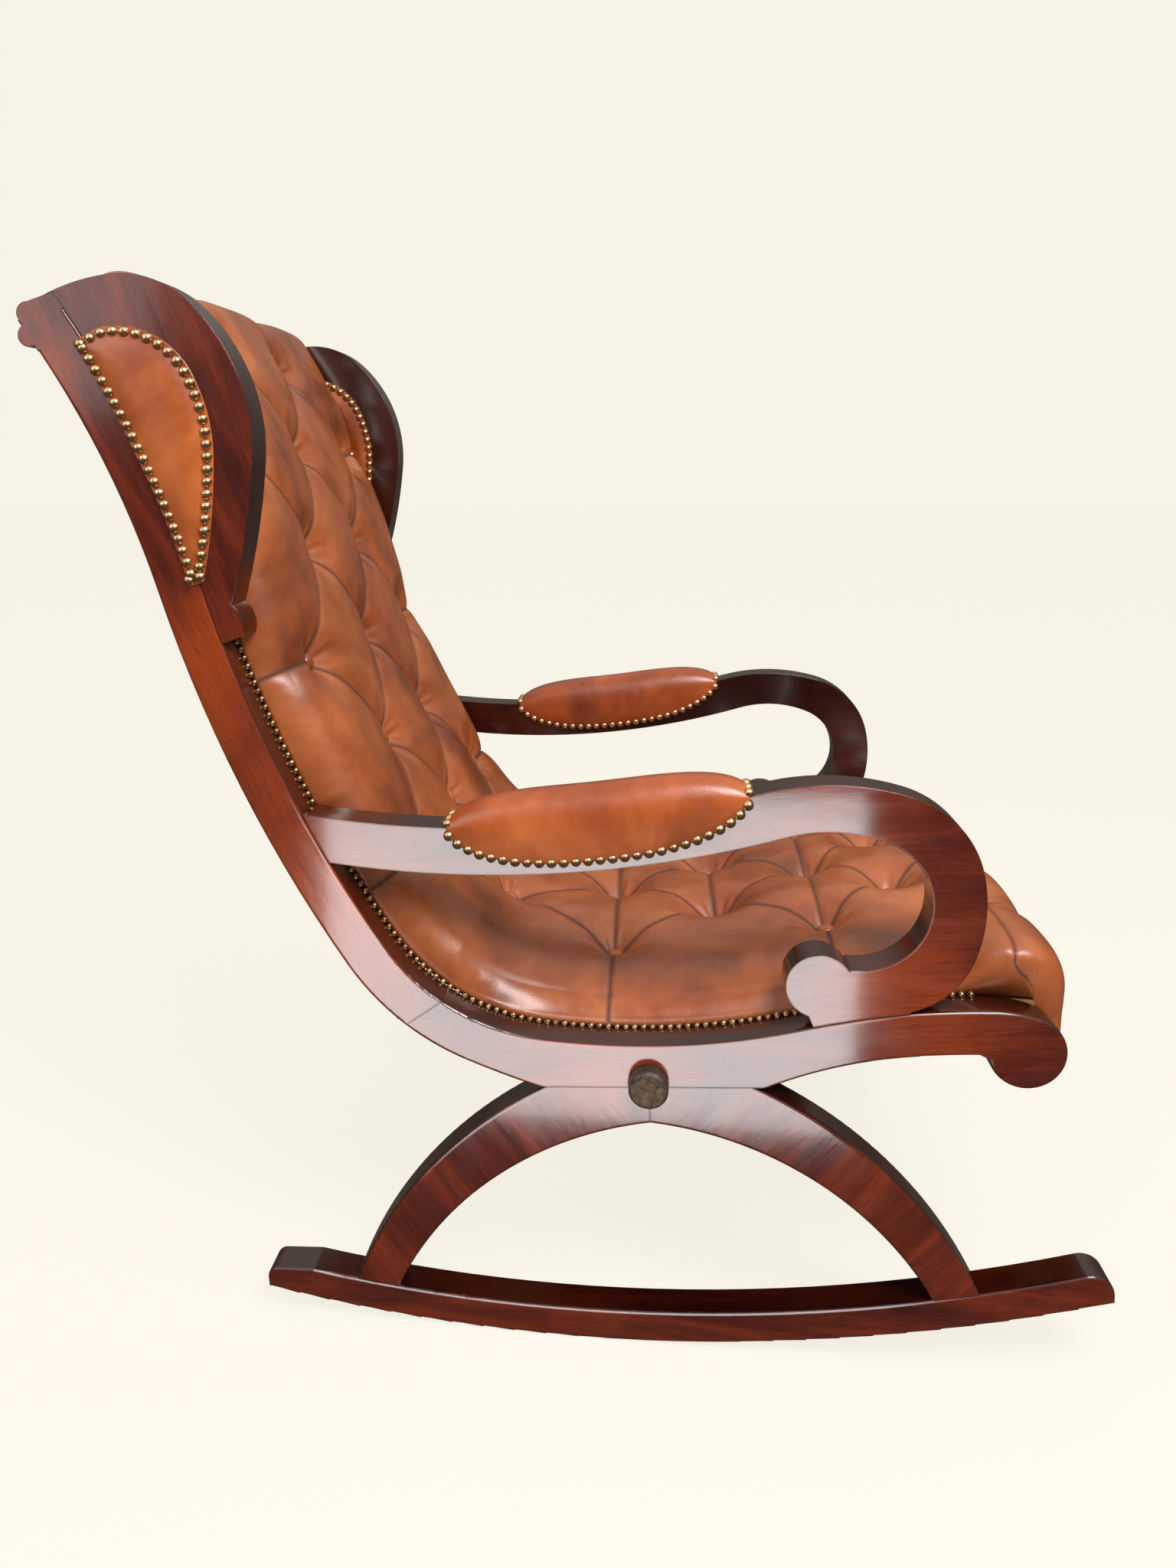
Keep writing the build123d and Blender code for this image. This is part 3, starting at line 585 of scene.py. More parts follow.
upholstery = {
    "crown": 58,                                    # top of the puffs ahead of the line
    "frontRollAt": -334, "frontRoll": 60, "frontFall": (260, 9),
    "crestRollAt": 20, "crestRoll": (30, 128),
    "step": 2.6,                                    # of the mesh
    "edgeWide": 72, "edgeDeep": 53, "rollDeep": 26,  # the fall to the nails on each side
    "edgeSteps": 38, "edgeGirth": 1.36,             # its points, its length over its width
    "sideFrom": 5, "sideOver": 60,                  # where the sides come down to full depth
    "squareAt": [-330, -200, 0, 250, 500, 780, 880],
    "square": [2.9, 2.3, 2.0, 2.0, 2.3, 2.6, 3.6],  # how full the side's bend is there
    "sideFollow": 0.8,                              # share of a hollow that moves sideways
    "clear": 0.4,                                   # from the side frames
    "foot": -0.5, "footFall": 34, "footPoints": 7,  # underside, just over the webbing
    "footFrom": 3, "footEnd": 1,                    # it turns up short of the two ends
    "pleatWide": 34, "pleatSpread": 82, "pleatSharp": 0.62, "pleatSag": 2.2,
    "pleatMid": 10, "crossMid": 14, "sideMid": 13, "frontMid": 9, "crestMid": 8,  # depth midway
    "pleatReach": 130,                              # buttons further apart get no pleat
    "crossRows": (2, 5),                            # rows of the seat pleated straight across
    "sideEnd": (2, 3), "frontEnd": (6, 1.06, 8), "crestEnd": (4, 0.96, 8),
    "foldReach": 30, "noFold": 0.02,
    "pitSeat": 72, "pitBack": 60, "pitFrom": 140, "pitOver": 80, "pitFloor": 8,
    "gathers": ((9, 1), (14, 0.7), (21, 0.5)),      # small folds round a button
    "gatherRing": (19, 12), "gatherDeep": 0.85,
    "waves": 14, "waveTurn": 0.018, "waveHigh": 0.55, "waveShare": 0.6, "settle": 1.5,
    "seatSink": 9, "sideSink": 12,                  # how far the seat lies below the crown
    "sinkFrom": (-345, 60), "sinkTo": (210, 130), "sinkSide": (80, 90),
    "edgeFade": 34, "fadePower": 0.6, "endFade": 16,
    "roomRoll": 26, "roomMore": 20,                 # most that the surface may sink
    "nailGather": (0.28, 0.31, 2.3, 0.06, 0.043, 1.1), "nailRing": (16, 11),
    "crestLift": 1.5, "liftFrom": 760, "liftOver": 120,
    "buttonLift": 5.5,
    "seed": 11,
}
# rows of buttons up the line: place, spacing across, buttons in the row, depth below the crown
buttonRows = [
    (-342, 140, 3, 20), (-268, 140, 2, 36), (-190, 148, 3, 38), (-79, 142, 2, 40), (35, 146, 3, 38),
    (172, 142, 2, 26), (320, 170, 3, 22), (433, 190, 2, 26), (550, 200, 3, 29), (661, 194, 2, 30),
    (769, 192, 3, 28), (872, 190, 2, 24),
]


def buildProfile():  # stations from under the front roll, over seat and back, to behind the crest
    u = upholstery
    startAngle = place(u["frontRollAt"])[1] - 180
    fallRadius, fallTurn = u["frontFall"]
    arcs = [(u["frontRoll"], -90 - startAngle), (fallRadius, -fallTurn)]
    front = walkArcs(beside(u["frontRollAt"], u["crown"]), startAngle, arcs, u["step"])
    stations = []
    walked = 0
    for k, (point, angle) in enumerate(front):
        if k:
            walked += float(np.linalg.norm(point - front[k - 1][0]))
        stations.append((u["frontRollAt"] - walked, point, angle + 180))
    stations.reverse()
    last = topAt - u["crestRollAt"]
    count = round((last - u["frontRollAt"]) / u["step"])
    for k in range(1, count + 1):
        at = u["frontRollAt"] + (last - u["frontRollAt"]) * k / count
        stations.append((at, beside(at, u["crown"]), place(at)[1]))
    crest = walkArcs(stations[-1][1], stations[-1][2], [u["crestRoll"]], u["step"])
    walked = 0
    for k in range(1, len(crest)):
        walked += float(np.linalg.norm(crest[k][0] - crest[k - 1][0]))
        stations.append((last + walked, crest[k][0], crest[k][1]))
    return stations


def segmentDistance(px, py, a, b):  # distance to a segment, the side of it, and the place along it
    dx, dy = b[0] - a[0], b[1] - a[1]
    length = math.hypot(dx, dy)
    along = np.clip(((px - a[0]) * dx + (py - a[1]) * dy) / length**2, 0, 1)
    cx, cy = px - a[0] - along * dx, py - a[1] - along * dy
    return np.hypot(cx, cy), np.sign(dx * cy - dy * cx), along


def pleatLines(grid, edge, lastRun):  # start, end and depth midway; a button is place, across, depth
    u = upholstery
    pleats = []
    for low, high in zip(grid[:-1], grid[1:]):
        for a in low:
            pleats += [(a, b, u["pleatMid"]) for b in high if abs(a[1] - b[1]) < u["pleatReach"]]
    for row in grid[slice(*u["crossRows"])]:
        pleats += [(a, b, u["crossMid"]) for a, b in zip(row[:-1], row[1:])]
    for row in grid:
        if len(row) == 3:
            on, deep = u["sideEnd"]
            for outer, sign in ((row[0], -1), (row[2], 1)):
                pleats.append((outer, (outer[0] + on, sign * edge, deep), u["sideMid"]))
    on, spread, deep = u["frontEnd"]
    pleats += [(button, (on, button[1] * spread, deep), u["frontMid"]) for button in grid[0]]
    on, spread, deep = u["crestEnd"]
    for button in grid[-1]:
        pleats.append((button, (lastRun - on, button[1] * spread, deep), u["crestMid"]))
    return pleats


def sinkPleats(px, py, pleats):  # depth of the pleats, and the signed way to the nearest fold
    u = upholstery
    drop = np.zeros(px.shape)
    fold = np.full(px.shape, u["noFold"])
    nearest = np.full(px.shape, np.inf)
    for a, b, middle in pleats:
        distance, side, along = segmentDistance(px, py, a, b)
        ends = a[2] + (b[2] - a[2]) * along
        depth = middle + (ends - middle) * np.abs(2 * along - 1) ** u["pleatSag"]
        near = np.clip(1 - distance / u["pleatWide"], 0, 1)
        shoulder = 1 - np.sqrt(np.clip(1 - near * near, 0, 1))
        wide = np.clip(1 - distance / u["pleatSpread"], 0, 1) ** 2
        drop = np.maximum(drop, depth * (u["pleatSharp"] * shoulder + (1 - u["pleatSharp"]) * wide))
        closer = distance < nearest
        nearest = np.where(closer, distance, nearest)
        fold = np.where(closer & (distance < u["foldReach"]), side * distance / 1000, fold)
    return drop, fold


def sinkButtons(px, py, buttons, drop, seatEnd, rng):  # pits of the buttons, small folds round them
    u = upholstery
    pinch = np.zeros(px.shape)
    for x, y, depth in buttons:
        ox, oy = px - x, py - y
        distance = np.hypot(ox, oy)
        inSeat = np.clip((seatEnd - x) / u["pitOver"], 0, 1)
        pitWide = u["pitBack"] + (u["pitSeat"] - u["pitBack"]) * inSeat
        cone = np.clip(1 - np.clip(distance - u["pitFloor"], 0, None) / pitWide, 0, 1)
        drop = (drop ** 5 + (depth * cone ** 2) ** 5) ** 0.2  # the deeper one, softly
        angle = np.arctan2(oy, ox)
        phase = rng.uniform(0, 6.28, 3)
        rays = sum(high * np.sin(n * angle + start) for (n, high), start in zip(u["gathers"], phase))
        ring, over = u["gatherRing"]
        pinch += u["gatherDeep"] * rays * np.exp(-((distance - ring) / over) ** 2)
    return drop, pinch


def stuffingWaves(px, py, rng):  # soft unevenness of old stuffing
    u = upholstery
    waves = np.zeros(px.shape)
    for k in range(u["waves"]):
        kx, ky = rng.normal(0, u["waveTurn"]), rng.normal(0, u["waveTurn"])
        waves += np.sin(px * kx + py * ky + rng.uniform(0, 6.28)) * u["waveHigh"]
    return u["settle"] + waves * u["waveShare"]


def undersideLine(at):  # feet of the stations on the deck line
    u = upholstery
    firstAt, crestAt = frontAt + u["footFrom"], topAt - u["crestRollAt"]
    feet = []
    for station in at:
        if station < firstAt:
            part = np.clip((firstAt - station) / (firstAt - at[0]), 0, 1)
            feet.append(beside(frontAt + u["footEnd"], u["foot"] - part * u["footFall"]))
        elif station > crestAt:
            part = (station - topAt + u["crestRollAt"]) / (at[-1] - topAt + u["crestRollAt"])
            lastAt = topAt - u["crestRollAt"] * (1 - part) - u["footEnd"]
            feet.append(beside(lastAt, u["foot"]))
        else:
            feet.append(beside(station, u["foot"]))
    return np.array(feet)


def buildUpholstery():
    u = upholstery
    stations = buildProfile()
    at = np.array([s[0] for s in stations])
    spots = np.array([s[1] for s in stations])
    normals = np.array([heading(s[2] - 90) for s in stations])
    run = np.concatenate([[0], np.cumsum(np.linalg.norm(np.diff(spots, axis=0), axis=1))])
    # across: a flat middle and a quarter ellipse down to the nails on each side
    half = innerFace - u["clear"]
    flat = half - u["edgeWide"]
    flatCount = int(round(2 * flat / u["step"]))
    turns = np.radians(np.linspace(0, 90, u["edgeSteps"] + 1)[1:])
    middle = np.linspace(-flat, flat, flatCount + 1)
    edgeSpots = flat + u["edgeWide"] * np.sin(turns)
    girth = u["edgeWide"] * u["edgeGirth"]
    laidSpots = flat + girth * turns / turns[-1]
    across = np.concatenate([-edgeSpots[::-1], middle, edgeSpots])
    laid = np.concatenate([-laidSpots[::-1], middle, laidSpots])
    tilt = np.concatenate([-turns[::-1], np.zeros(flatCount + 1), turns])
    rows, columns = len(at), len(across)
    edge = flat + girth
    # how deep the sides go: full on seat and back, shallow round the two rolls
    full = ease(
        np.clip((at - u["frontRollAt"] + u["sideFrom"]) / u["sideOver"], 0, 1)
        * np.clip((topAt - u["crestRollAt"] - at) / u["sideOver"], 0, 1)
    )
    deep = u["rollDeep"] + (u["edgeDeep"] - u["rollDeep"]) * full
    lift = u["crestLift"] * ease(np.clip((at - u["liftFrom"]) / u["liftOver"], 0, 1))
    spots = spots + normals * lift[:, None]
    px = run[:, None] + np.zeros((1, columns))
    py = np.zeros((rows, 1)) + laid[None, :]
    # hollows: pleats, buttons, old stuffing and the sag of the seat
    grid = []
    for rowAt, spacing, count, depth in buttonRows:
        rowRun = float(np.interp(rowAt, at, run))
        grid.append([(rowRun, (k - (count - 1) / 2) * spacing, depth) for k in range(count)])
    buttons = [button for row in grid for button in row]
    drop, fold = sinkPleats(px, py, pleatLines(grid, edge, run[-1]))
    rng = np.random.default_rng(u["seed"])
    seatEnd = float(np.interp(u["pitFrom"], at, run))
    drop, pinch = sinkButtons(px, py, buttons, drop, seatEnd, rng)
    settle = stuffingWaves(px, py, rng)
    (fromAt, fromOver), (toAt, toOver), (sideAt, sideOver) = u["sinkFrom"], u["sinkTo"], u["sinkSide"]
    seatPart = np.clip((at - fromAt) / fromOver, 0, 1) * np.clip((toAt - at) / toOver, 0, 1)
    toSide = ease(np.clip((np.abs(py) - sideAt) / sideOver, 0, 1))
    sag = (u["seatSink"] + u["sideSink"] * toSide) * seatPart[:, None]
    drop = (drop ** 3 + sag ** 3) ** (1 / 3)
    fade = np.clip((edge - np.abs(py)) / u["edgeFade"], 0, 1) ** u["fadePower"]
    ends = np.clip(run / u["endFade"], 0, 1) * np.clip((run[-1] - run) / u["endFade"], 0, 1)
    room = u["roomRoll"] + u["roomMore"] * full
    sink = np.minimum((drop + pinch + settle) * fade * ends[:, None], room[:, None])
    high, turn, sway, swayTurn, slow, start = u["nailGather"]  # gathers along the nails
    gather = high * np.sin(px * turn + sway * np.sin(px * swayTurn)) * np.sin(px * slow + start)
    ring, over = u["nailRing"]
    sink = sink + gather * np.exp(-((edge - np.abs(py) - ring) / over) ** 2)
    # bent along the line and down the sides
    cosT, sinT = np.cos(tilt), np.sin(tilt)
    square = np.interp(at, u["squareAt"], u["square"])[:, None]
    edgeAcross = np.sign(sinT) * np.abs(sinT)[None, :] ** (2 / square) * u["edgeWide"]
    flatAcross = np.where(sinT == 0, across, np.sign(sinT) * flat)[None, :]
    bend = 1 - np.clip(cosT, 0, 1)[None, :] ** (2 / square)
    down = deep[:, None] * bend + sink * cosT[None, :]
    sideways = flatAcross + edgeAcross - sink * sinT[None, :] * u["sideFollow"]
    x = spots[:, 0][:, None] - normals[:, 0][:, None] * down
    y = spots[:, 1][:, None] - normals[:, 1][:, None] * down
    top = np.stack(toWorld(x, sideways, y), axis=-1)
    feet = undersideLine(at)
    footX, footY = np.zeros((rows, u["footPoints"])), np.zeros((rows, u["footPoints"]))
    footX += feet[:, :1]
    footY += feet[:, 1:]
    footAcross = np.linspace(half, -half, u["footPoints"])[None, :] + np.zeros((rows, 1))
    under = np.stack(toWorld(footX, footAcross, footY), axis=-1)
    width = columns + u["footPoints"]
    points = np.concatenate([top, under], axis=1).reshape(-1, 3)
    firstRing, lastStart = tuple(range(width)), (rows - 1) * width
    caps = [firstRing, tuple(lastStart + k for k in reversed(firstRing))]
    underFold = np.full((rows, u["footPoints"]), u["noFold"])
    folds = np.concatenate([fold, underFold], axis=1).reshape(-1)
    piece = makeMesh("buttoned_leather", points, gridFaces(rows, width) + caps, {"fold": folds})
    faceOut(piece)
    wear(piece, seatLeather)
    marks = []  # button places with their facing
    for buttonRun, buttonAcross, depth in buttons:
        i = int(np.argmin(np.abs(run - buttonRun)))
        j = int(np.argmin(np.abs(laid - buttonAcross)))
        facing = turnWorld(normals[i][0], 0, normals[i][1])
        marks.append((Vector(top[i, j]) + Vector(facing) * u["buttonLift"] / 1000, facing))
    return piece, marks


leatherPiece, buttonMarks = buildUpholstery()
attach(leatherPiece, "root")
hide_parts("leather_cover", "seat_stuffing", "back_stuffing")
print("rocker: buttoned leather,", len(leatherPiece.data.polygons), "faces")

# Domed heads set along a path or on points, by Geometry Nodes

headInputs = (
    ("Head Width", "NodeSocketFloat", 0.01), ("Head Rise", "NodeSocketFloat", 0.0035),
    ("Pitch", "NodeSocketFloat", 0.011), ("Size Spread", "NodeSocketFloat", 0.05),
    ("Segments", "NodeSocketInt", 9), ("Rings", "NodeSocketInt", 6), ("Seed", "NodeSocketInt", 3),
    ("Finish", "NodeSocketMaterial", None),
)


def setTree(name, onPath):
    tree = bpy.data.node_groups.new(name, "GeometryNodeTree")
    face = tree.interface
    face.new_socket(name="Geometry", in_out="INPUT", socket_type="NodeSocketGeometry")
    sockets = {}
    for label, kind, value in headInputs:
        socket = face.new_socket(name=label, in_out="INPUT", socket_type=kind)
        if value is not None:
            socket.default_value = value
        sockets[label] = socket.identifier
    face.new_socket(name="Geometry", in_out="OUTPUT", socket_type="NodeSocketGeometry")
    start = addNode(tree, "NodeGroupInput").outputs
    if onPath:
        curve = addNode(tree, "GeometryNodeMeshToCurve", links={0: start["Geometry"]})
        spread = addNode(
            tree, "GeometryNodeResampleCurve", {"mode": "LENGTH"},
            {"Curve": curve, "Length": start["Pitch"]},
        )
        points = addNode(tree, "GeometryNodeCurveToPoints", {"mode": "EVALUATED"}, {0: spread})
    else:
        points = addNode(tree, "GeometryNodeMeshToPoints", links={0: start["Geometry"]})
    ball = addNode(
        tree, "GeometryNodeMeshUVSphere", {"Radius": 1.0},
        {"Segments": start["Segments"], "Rings": start["Rings"]},
    )
    halfWide = addNode(
        tree, "ShaderNodeMath", {"operation": "MULTIPLY", 1: 0.5}, {0: start["Head Width"]}
    )
    size = addNode(
        tree, "ShaderNodeCombineXYZ", links={0: halfWide, 1: halfWide, 2: start["Head Rise"]}
    )
    shaped = addNode(tree, "GeometryNodeTransform", links={"Geometry": ball, "Scale": size})
    facing = addNode(
        tree, "GeometryNodeInputNamedAttribute", {"data_type": "FLOAT_VECTOR", "Name": "facing"}
    )
    turned = addNode(tree, "FunctionNodeAlignRotationToVector", {"axis": "Z"}, {"Vector": facing})
    small, large = [
        addNode(
            tree, "ShaderNodeMath", {"operation": operation, 0: 1.0}, {1: start["Size Spread"]}
        )
        for operation in ("SUBTRACT", "ADD")
    ]
    chance = addNode(
        tree, "FunctionNodeRandomValue", {"data_type": "FLOAT"},
        {2: small, 3: large, "Seed": start["Seed"]},
    )
    placed = addNode(
        tree, "GeometryNodeInstanceOnPoints",
        links={"Points": points, "Instance": shaped, "Rotation": turned, "Scale": chance.outputs[1]},
    )
    solid = addNode(tree, "GeometryNodeRealizeInstances", links={0: placed})
    smooth = addNode(tree, "GeometryNodeSetShadeSmooth", links={0: solid})
    finished = addNode(
        tree, "GeometryNodeSetMaterial", links={"Geometry": smooth, "Material": start["Finish"]}
    )
    addNode(tree, "NodeGroupOutput", links={0: finished})
    return tree, sockets


def markMesh(name, runs):  # a run is its (point, facing) pairs, whether closed, whether joined
    mesh = bpy.data.meshes.new(name)
    points, edges, facings = [], [], []
    for run, closed, joined in runs:
        first = len(points)
        points += [tuple(point) for point, facing in run]
        facings += [tuple(facing) for point, facing in run]
        if joined:
            edges += [(first + k, first + k + 1) for k in range(len(run) - 1)]
            if closed:
                edges.append((first + len(run) - 1, first))
    mesh.from_pydata(points, edges, [])
    layer = mesh.attributes.new("facing", "FLOAT_VECTOR", "POINT")
    layer.data.foreach_set("vector", np.asarray(facings, np.float32).reshape(-1))
    piece = bpy.data.objects.new(name, mesh)
    bpy.context.scene.collection.objects.link(piece)
    return piece


def growOn(name, runs, grown, values, material):
    tree, sockets = grown
    seed = markMesh(name + "_marks", runs)
    modifier = seed.modifiers.new("set", "NODES")
    modifier.node_group = tree
    for label, value in {**values, "Finish": material}.items():
        modifier[sockets[label]] = value
    ready = seed.evaluated_get(bpy.context.evaluated_depsgraph_get())
    mesh = bpy.data.meshes.new_from_object(ready)
    mesh.name = name
    seed.modifiers.remove(modifier)
    bpy.data.objects.remove(seed)
    if "facing" in mesh.attributes:
        mesh.attributes.remove(mesh.attributes["facing"])
    piece = bpy.data.objects.new(name, mesh)
    bpy.context.scene.collection.objects.link(piece)
    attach(piece, "root")
    print("rocker:", name, len(mesh.polygons), "faces")
    return piece


nailRow = setTree("nailRow", True)
buttonSet = setTree("buttonSet", False)

button = {
    "Head Width": 0.0185, "Head Rise": 0.006, "Size Spread": 0.03, "Segments": 20, "Rings": 12,
    "Seed": 5,
}
growOn("leather_buttons", [(buttonMarks, False, False)], buttonSet, button, buttonLeather)

nail = {
    "Head Width": 0.0103, "Head Rise": 0.0046, "Pitch": 0.011, "Size Spread": 0.04,
    "Segments": 10, "Rings": 6, "Seed": 7,
}
smallNail = {
    "Head Width": 0.0074, "Head Rise": 0.0034, "Pitch": 0.0084, "Size Spread": 0.06,
    "Segments": 9, "Rings": 6, "Seed": 9,
}
# small nails that hold the leather along both side frames, leaning a little outwards
sideRow = {"from": -300, "to": 640, "step": 6.0, "ahead": 1.2, "across": 276.2, "outwards": 0.45}
edgeRows = []
for sign in (-1, 1):
    row = []
    for at in np.arange(sideRow["from"], sideRow["to"], sideRow["step"]):
        spot, up = beside(at, sideRow["ahead"]), heading(place(at)[1] - 90)
        row.append((
            toWorld(spot[0], sign * sideRow["across"], spot[1]),
            turnWorld(up[0], sign * sideRow["outwards"], up[1]),
        ))
    edgeRows.append((row, False, True))
# the side nails wear the darker brass as painted shade
growOn("edge_nails", edgeRows, nailRow, smallNail, shadedBrass)

# Padded arm tops

armPad = {
    "middle": 292, "from": -174, "to": 101,         # across the chair, and along the arm
    "rise": 33, "skirt": 36,                        # over the arm's top, and down its sides
    "endRise": 2.2, "endSkirt": 3.5,                # the same at the two ends
    "waist": 19.4, "swell": 8.2, "waistAt": 0.46,
    "turnAt": 0.66, "tuck": 0.6, "roundness": 0.9,  # where the side turns under, and how
    # how squarely the top, the skirt and the sides swell between the ends
    "topSwell": (3.2, 0.62), "skirtSwell": (3.0, 0.6), "sideSwell": (2.8, 0.6),
    "inside": 18, "insideAt": 0.65, "clear": 0.4,
    "across": 34, "along": 110, "tip": 0.9995,     # points, and how near the ends they reach
    "dip": (-306, 272.8), "dipTurn": 79.3, "dipRadius": 1018,  # the arc of the arm's top
}
padNail = {"steps": 60, "end": 0.985, "out": 1.2, "up": 1.5, "look": 0.12}
endNail = {"steps": 8, "from": -16, "pitch": 4, "out": 1.5, "up": 3.6, "look": 0.35}
armCentre = np.array(armPad["dip"]) + heading(armPad["dipTurn"]) * armPad["dipRadius"]


def armTop(x):
    return armCentre[1] - math.sqrt(armPad["dipRadius"] ** 2 - (x - armCentre[0]) ** 2)


def swellAt(u, sharp, power):
    return max(0.0, 1 - abs(u) ** sharp) ** power


def padSection(u):  # outer points from one nail line over the top to the other, then the hollow
    p = armPad
    x = (p["from"] + p["to"]) / 2 + u * (p["to"] - p["from"]) / 2
    wood = armTop(x)
    high = wood + p["endRise"] + (p["rise"] - p["endRise"]) * swellAt(u, *p["topSwell"])
    low = wood - p["endSkirt"] - (p["skirt"] - p["endSkirt"]) * swellAt(u, *p["skirtSwell"])
    wide = p["waist"] + p["swell"] * swellAt(u, *p["sideSwell"])
    waist = low + (high - low) * p["waistAt"]
    outer, inner = [], []
    for k in range(p["across"] + 1):
        v = k / p["across"] * 2 - 1  # -1 and 1 are the nail lines
        if abs(v) > p["turnAt"]:
            turn = (abs(v) - p["turnAt"]) / (1 - p["turnAt"]) * math.pi / 2
            w = p["waist"] - p["tuck"] + (wide - p["waist"] + p["tuck"]) * math.cos(turn)
            z = waist - (waist - low) * math.sin(turn)
        else:
            turn = (1 - abs(v) / p["turnAt"]) * math.pi / 2
            w = wide * math.cos(turn) ** p["roundness"] if turn < math.pi / 2 else 0
            z = waist + (high - waist) * math.sin(turn) ** p["roundness"]
        outer.append((w * (1 if v > 0 else -1), z))
    inside, roof = p["inside"] + p["clear"], wood + p["clear"]
    for k in range(p["across"] + 1):
        v = k / p["across"] * 2 - 1
        z = min(roof, low + (roof - low) * min(1, (1 - abs(v)) / (1 - p["insideAt"])))
        w = inside if abs(v) > p["insideAt"] else inside * abs(v) / p["insideAt"]
        inner.append((w * (1 if v > 0 else -1), z))
    return x, outer, inner


def buildArmPad(sign, name):
    p = armPad
    points = []
    for i in range(p["along"] + 1):
        u = math.sin((i / p["along"] * 2 - 1) * math.pi / 2)
        x, outer, inner = padSection(u * p["tip"])
        points += [toWorld(x, sign * (p["middle"] + w), z) for w, z in outer + inner[::-1]]
    width = 2 * (p["across"] + 1)
    faces = gridFaces(p["along"] + 1, width)
    for base in (0, p["along"] * width):
        for k in range(p["across"]):
            faces.append((base + k, base + k + 1, base + width - 2 - k, base + width - 1 - k))
    piece = makeMesh(name, points, faces)
    faceOut(piece)
    wear(piece, armLeather)
    return piece


def padNails(sign):
    n, e, middle = padNail, endNail, armPad["middle"]
    outerRow, innerRow, rows = [], [], []
    for k in range(n["steps"] + 1):
        u = math.sin((k / n["steps"] * 2 - 1) * math.pi / 2) * n["end"]
        x, outer, inner = padSection(u)
        for row, hand, (w, z) in ((outerRow, 1, outer[-1]), (innerRow, -1, outer[0])):
            row.append((
                toWorld(x, sign * (middle + w + hand * n["out"]), z + n["up"]),
                turnWorld(0, sign * hand, n["look"]),
            ))
    for end in (-1, 1):
        x = padSection(end * n["end"])[0]
        across = []
        for k in range(e["steps"] + 1):
            w = e["from"] + e["pitch"] * k
            across.append((
                toWorld(x + end * e["out"], sign * (middle + w), armTop(x) + e["up"]),
                turnWorld(end * e["look"], 0, 1),
            ))
        rows.append((across, False, True))
    return rows + [(outerRow, False, True), (innerRow, False, True)]


padRows = []
for sign, hand in ((-1, "R"), (1, "L")):
    piece = buildArmPad(sign, "arm_bun_" + hand)
    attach(piece, "root")
    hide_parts("arm_pad_" + hand)
    padRows += padNails(sign)
growOn("arm_pad_nails", padRows, nailRow, nail, brass)

# Leather panels of the wings

wingPanel = {
    "lowAt": 655, "lowReach": 4, "length": 240, "splay": 30, "lap": 10,
    "arcs": [(566, 11.6), (146, 28.7), (77, 77)],
    "step": 4.0,
    "search": (600, 935, 2.0),           # part of the line that lies beside the wing
    "proud": 0.1,                        # the flat side's distance from the wood's face
    "plump": 6.5, "edge": 1.6,           # outside
    "innerPlump": 3.6, "innerEdge": 1.2,
    "plumpOver": 24,                     # from the nails to full height
    "edgeRise": (0, 0.7),                # share of the height at the first two rings
    "innerFrom": 29,                     # the inner panel stops where the back leather starts
    "nailInset": 5.5, "nailProud": 2.0, "innerInset": 4.0, "innerNailProud": 1.6,
}
# rings of a panel towards its middle; the first is its flat side's edge
domeRings = [
    1.0, 1.0, 0.985, 0.965, 0.94, 0.91, 0.88, 0.84, 0.8, 0.75, 0.7, 0.64, 0.57, 0.5, 0.42, 0.33,
    0.22, 0.1,
]


def panelFront():
    w = wingPanel
    angle = place(w["lowAt"])[1] - w["splay"]
    return [p for p, a in walkArcs(beside(w["lowAt"], w["lowReach"]), angle, w["arcs"], w["step"])]


def panelOutline():
    w = wingPanel
    outline = panelFront()
    highAt = w["lowAt"] + w["length"]
    topSpot = beside(highAt, -w["lap"])
    count = int(np.linalg.norm(topSpot - outline[-1]) / w["step"])
    for k in range(1, count):
        outline.append(outline[-1] + (topSpot - outline[-1]) / (count - k + 1))
    for at in np.arange(highAt, w["lowAt"] - 0.1, -w["step"]):
        outline.append(beside(at, -w["lap"]))
    return outline


def inwards(outline, amount):  # outline moved in by amount, corners kept apart
    spots = np.array(outline)
    ahead = np.roll(spots, -1, axis=0) - np.roll(spots, 1, axis=0)
    ahead /= np.linalg.norm(ahead, axis=1)[:, None] + 1e-9
    nextX, nextY = np.roll(spots[:, 0], -1), np.roll(spots[:, 1], -1)
    turn = 1 if np.sum(spots[:, 0] * nextY - spots[:, 1] * nextX) > 0 else -1
    return spots + np.stack([-ahead[:, 1], ahead[:, 0]], axis=1) * amount * turn


def distanceTo(spots, outline):  # shortest way to the closed outline
    run = np.roll(outline, -1, axis=0) - outline
    best = np.full(len(spots), np.inf)
    for a, d in zip(outline, run):
        along = np.clip(((spots - a) @ d) / (d @ d + 1e-9), 0, 1)
        best = np.minimum(best, np.linalg.norm(spots - a - along[:, None] * d, axis=1))
    return best


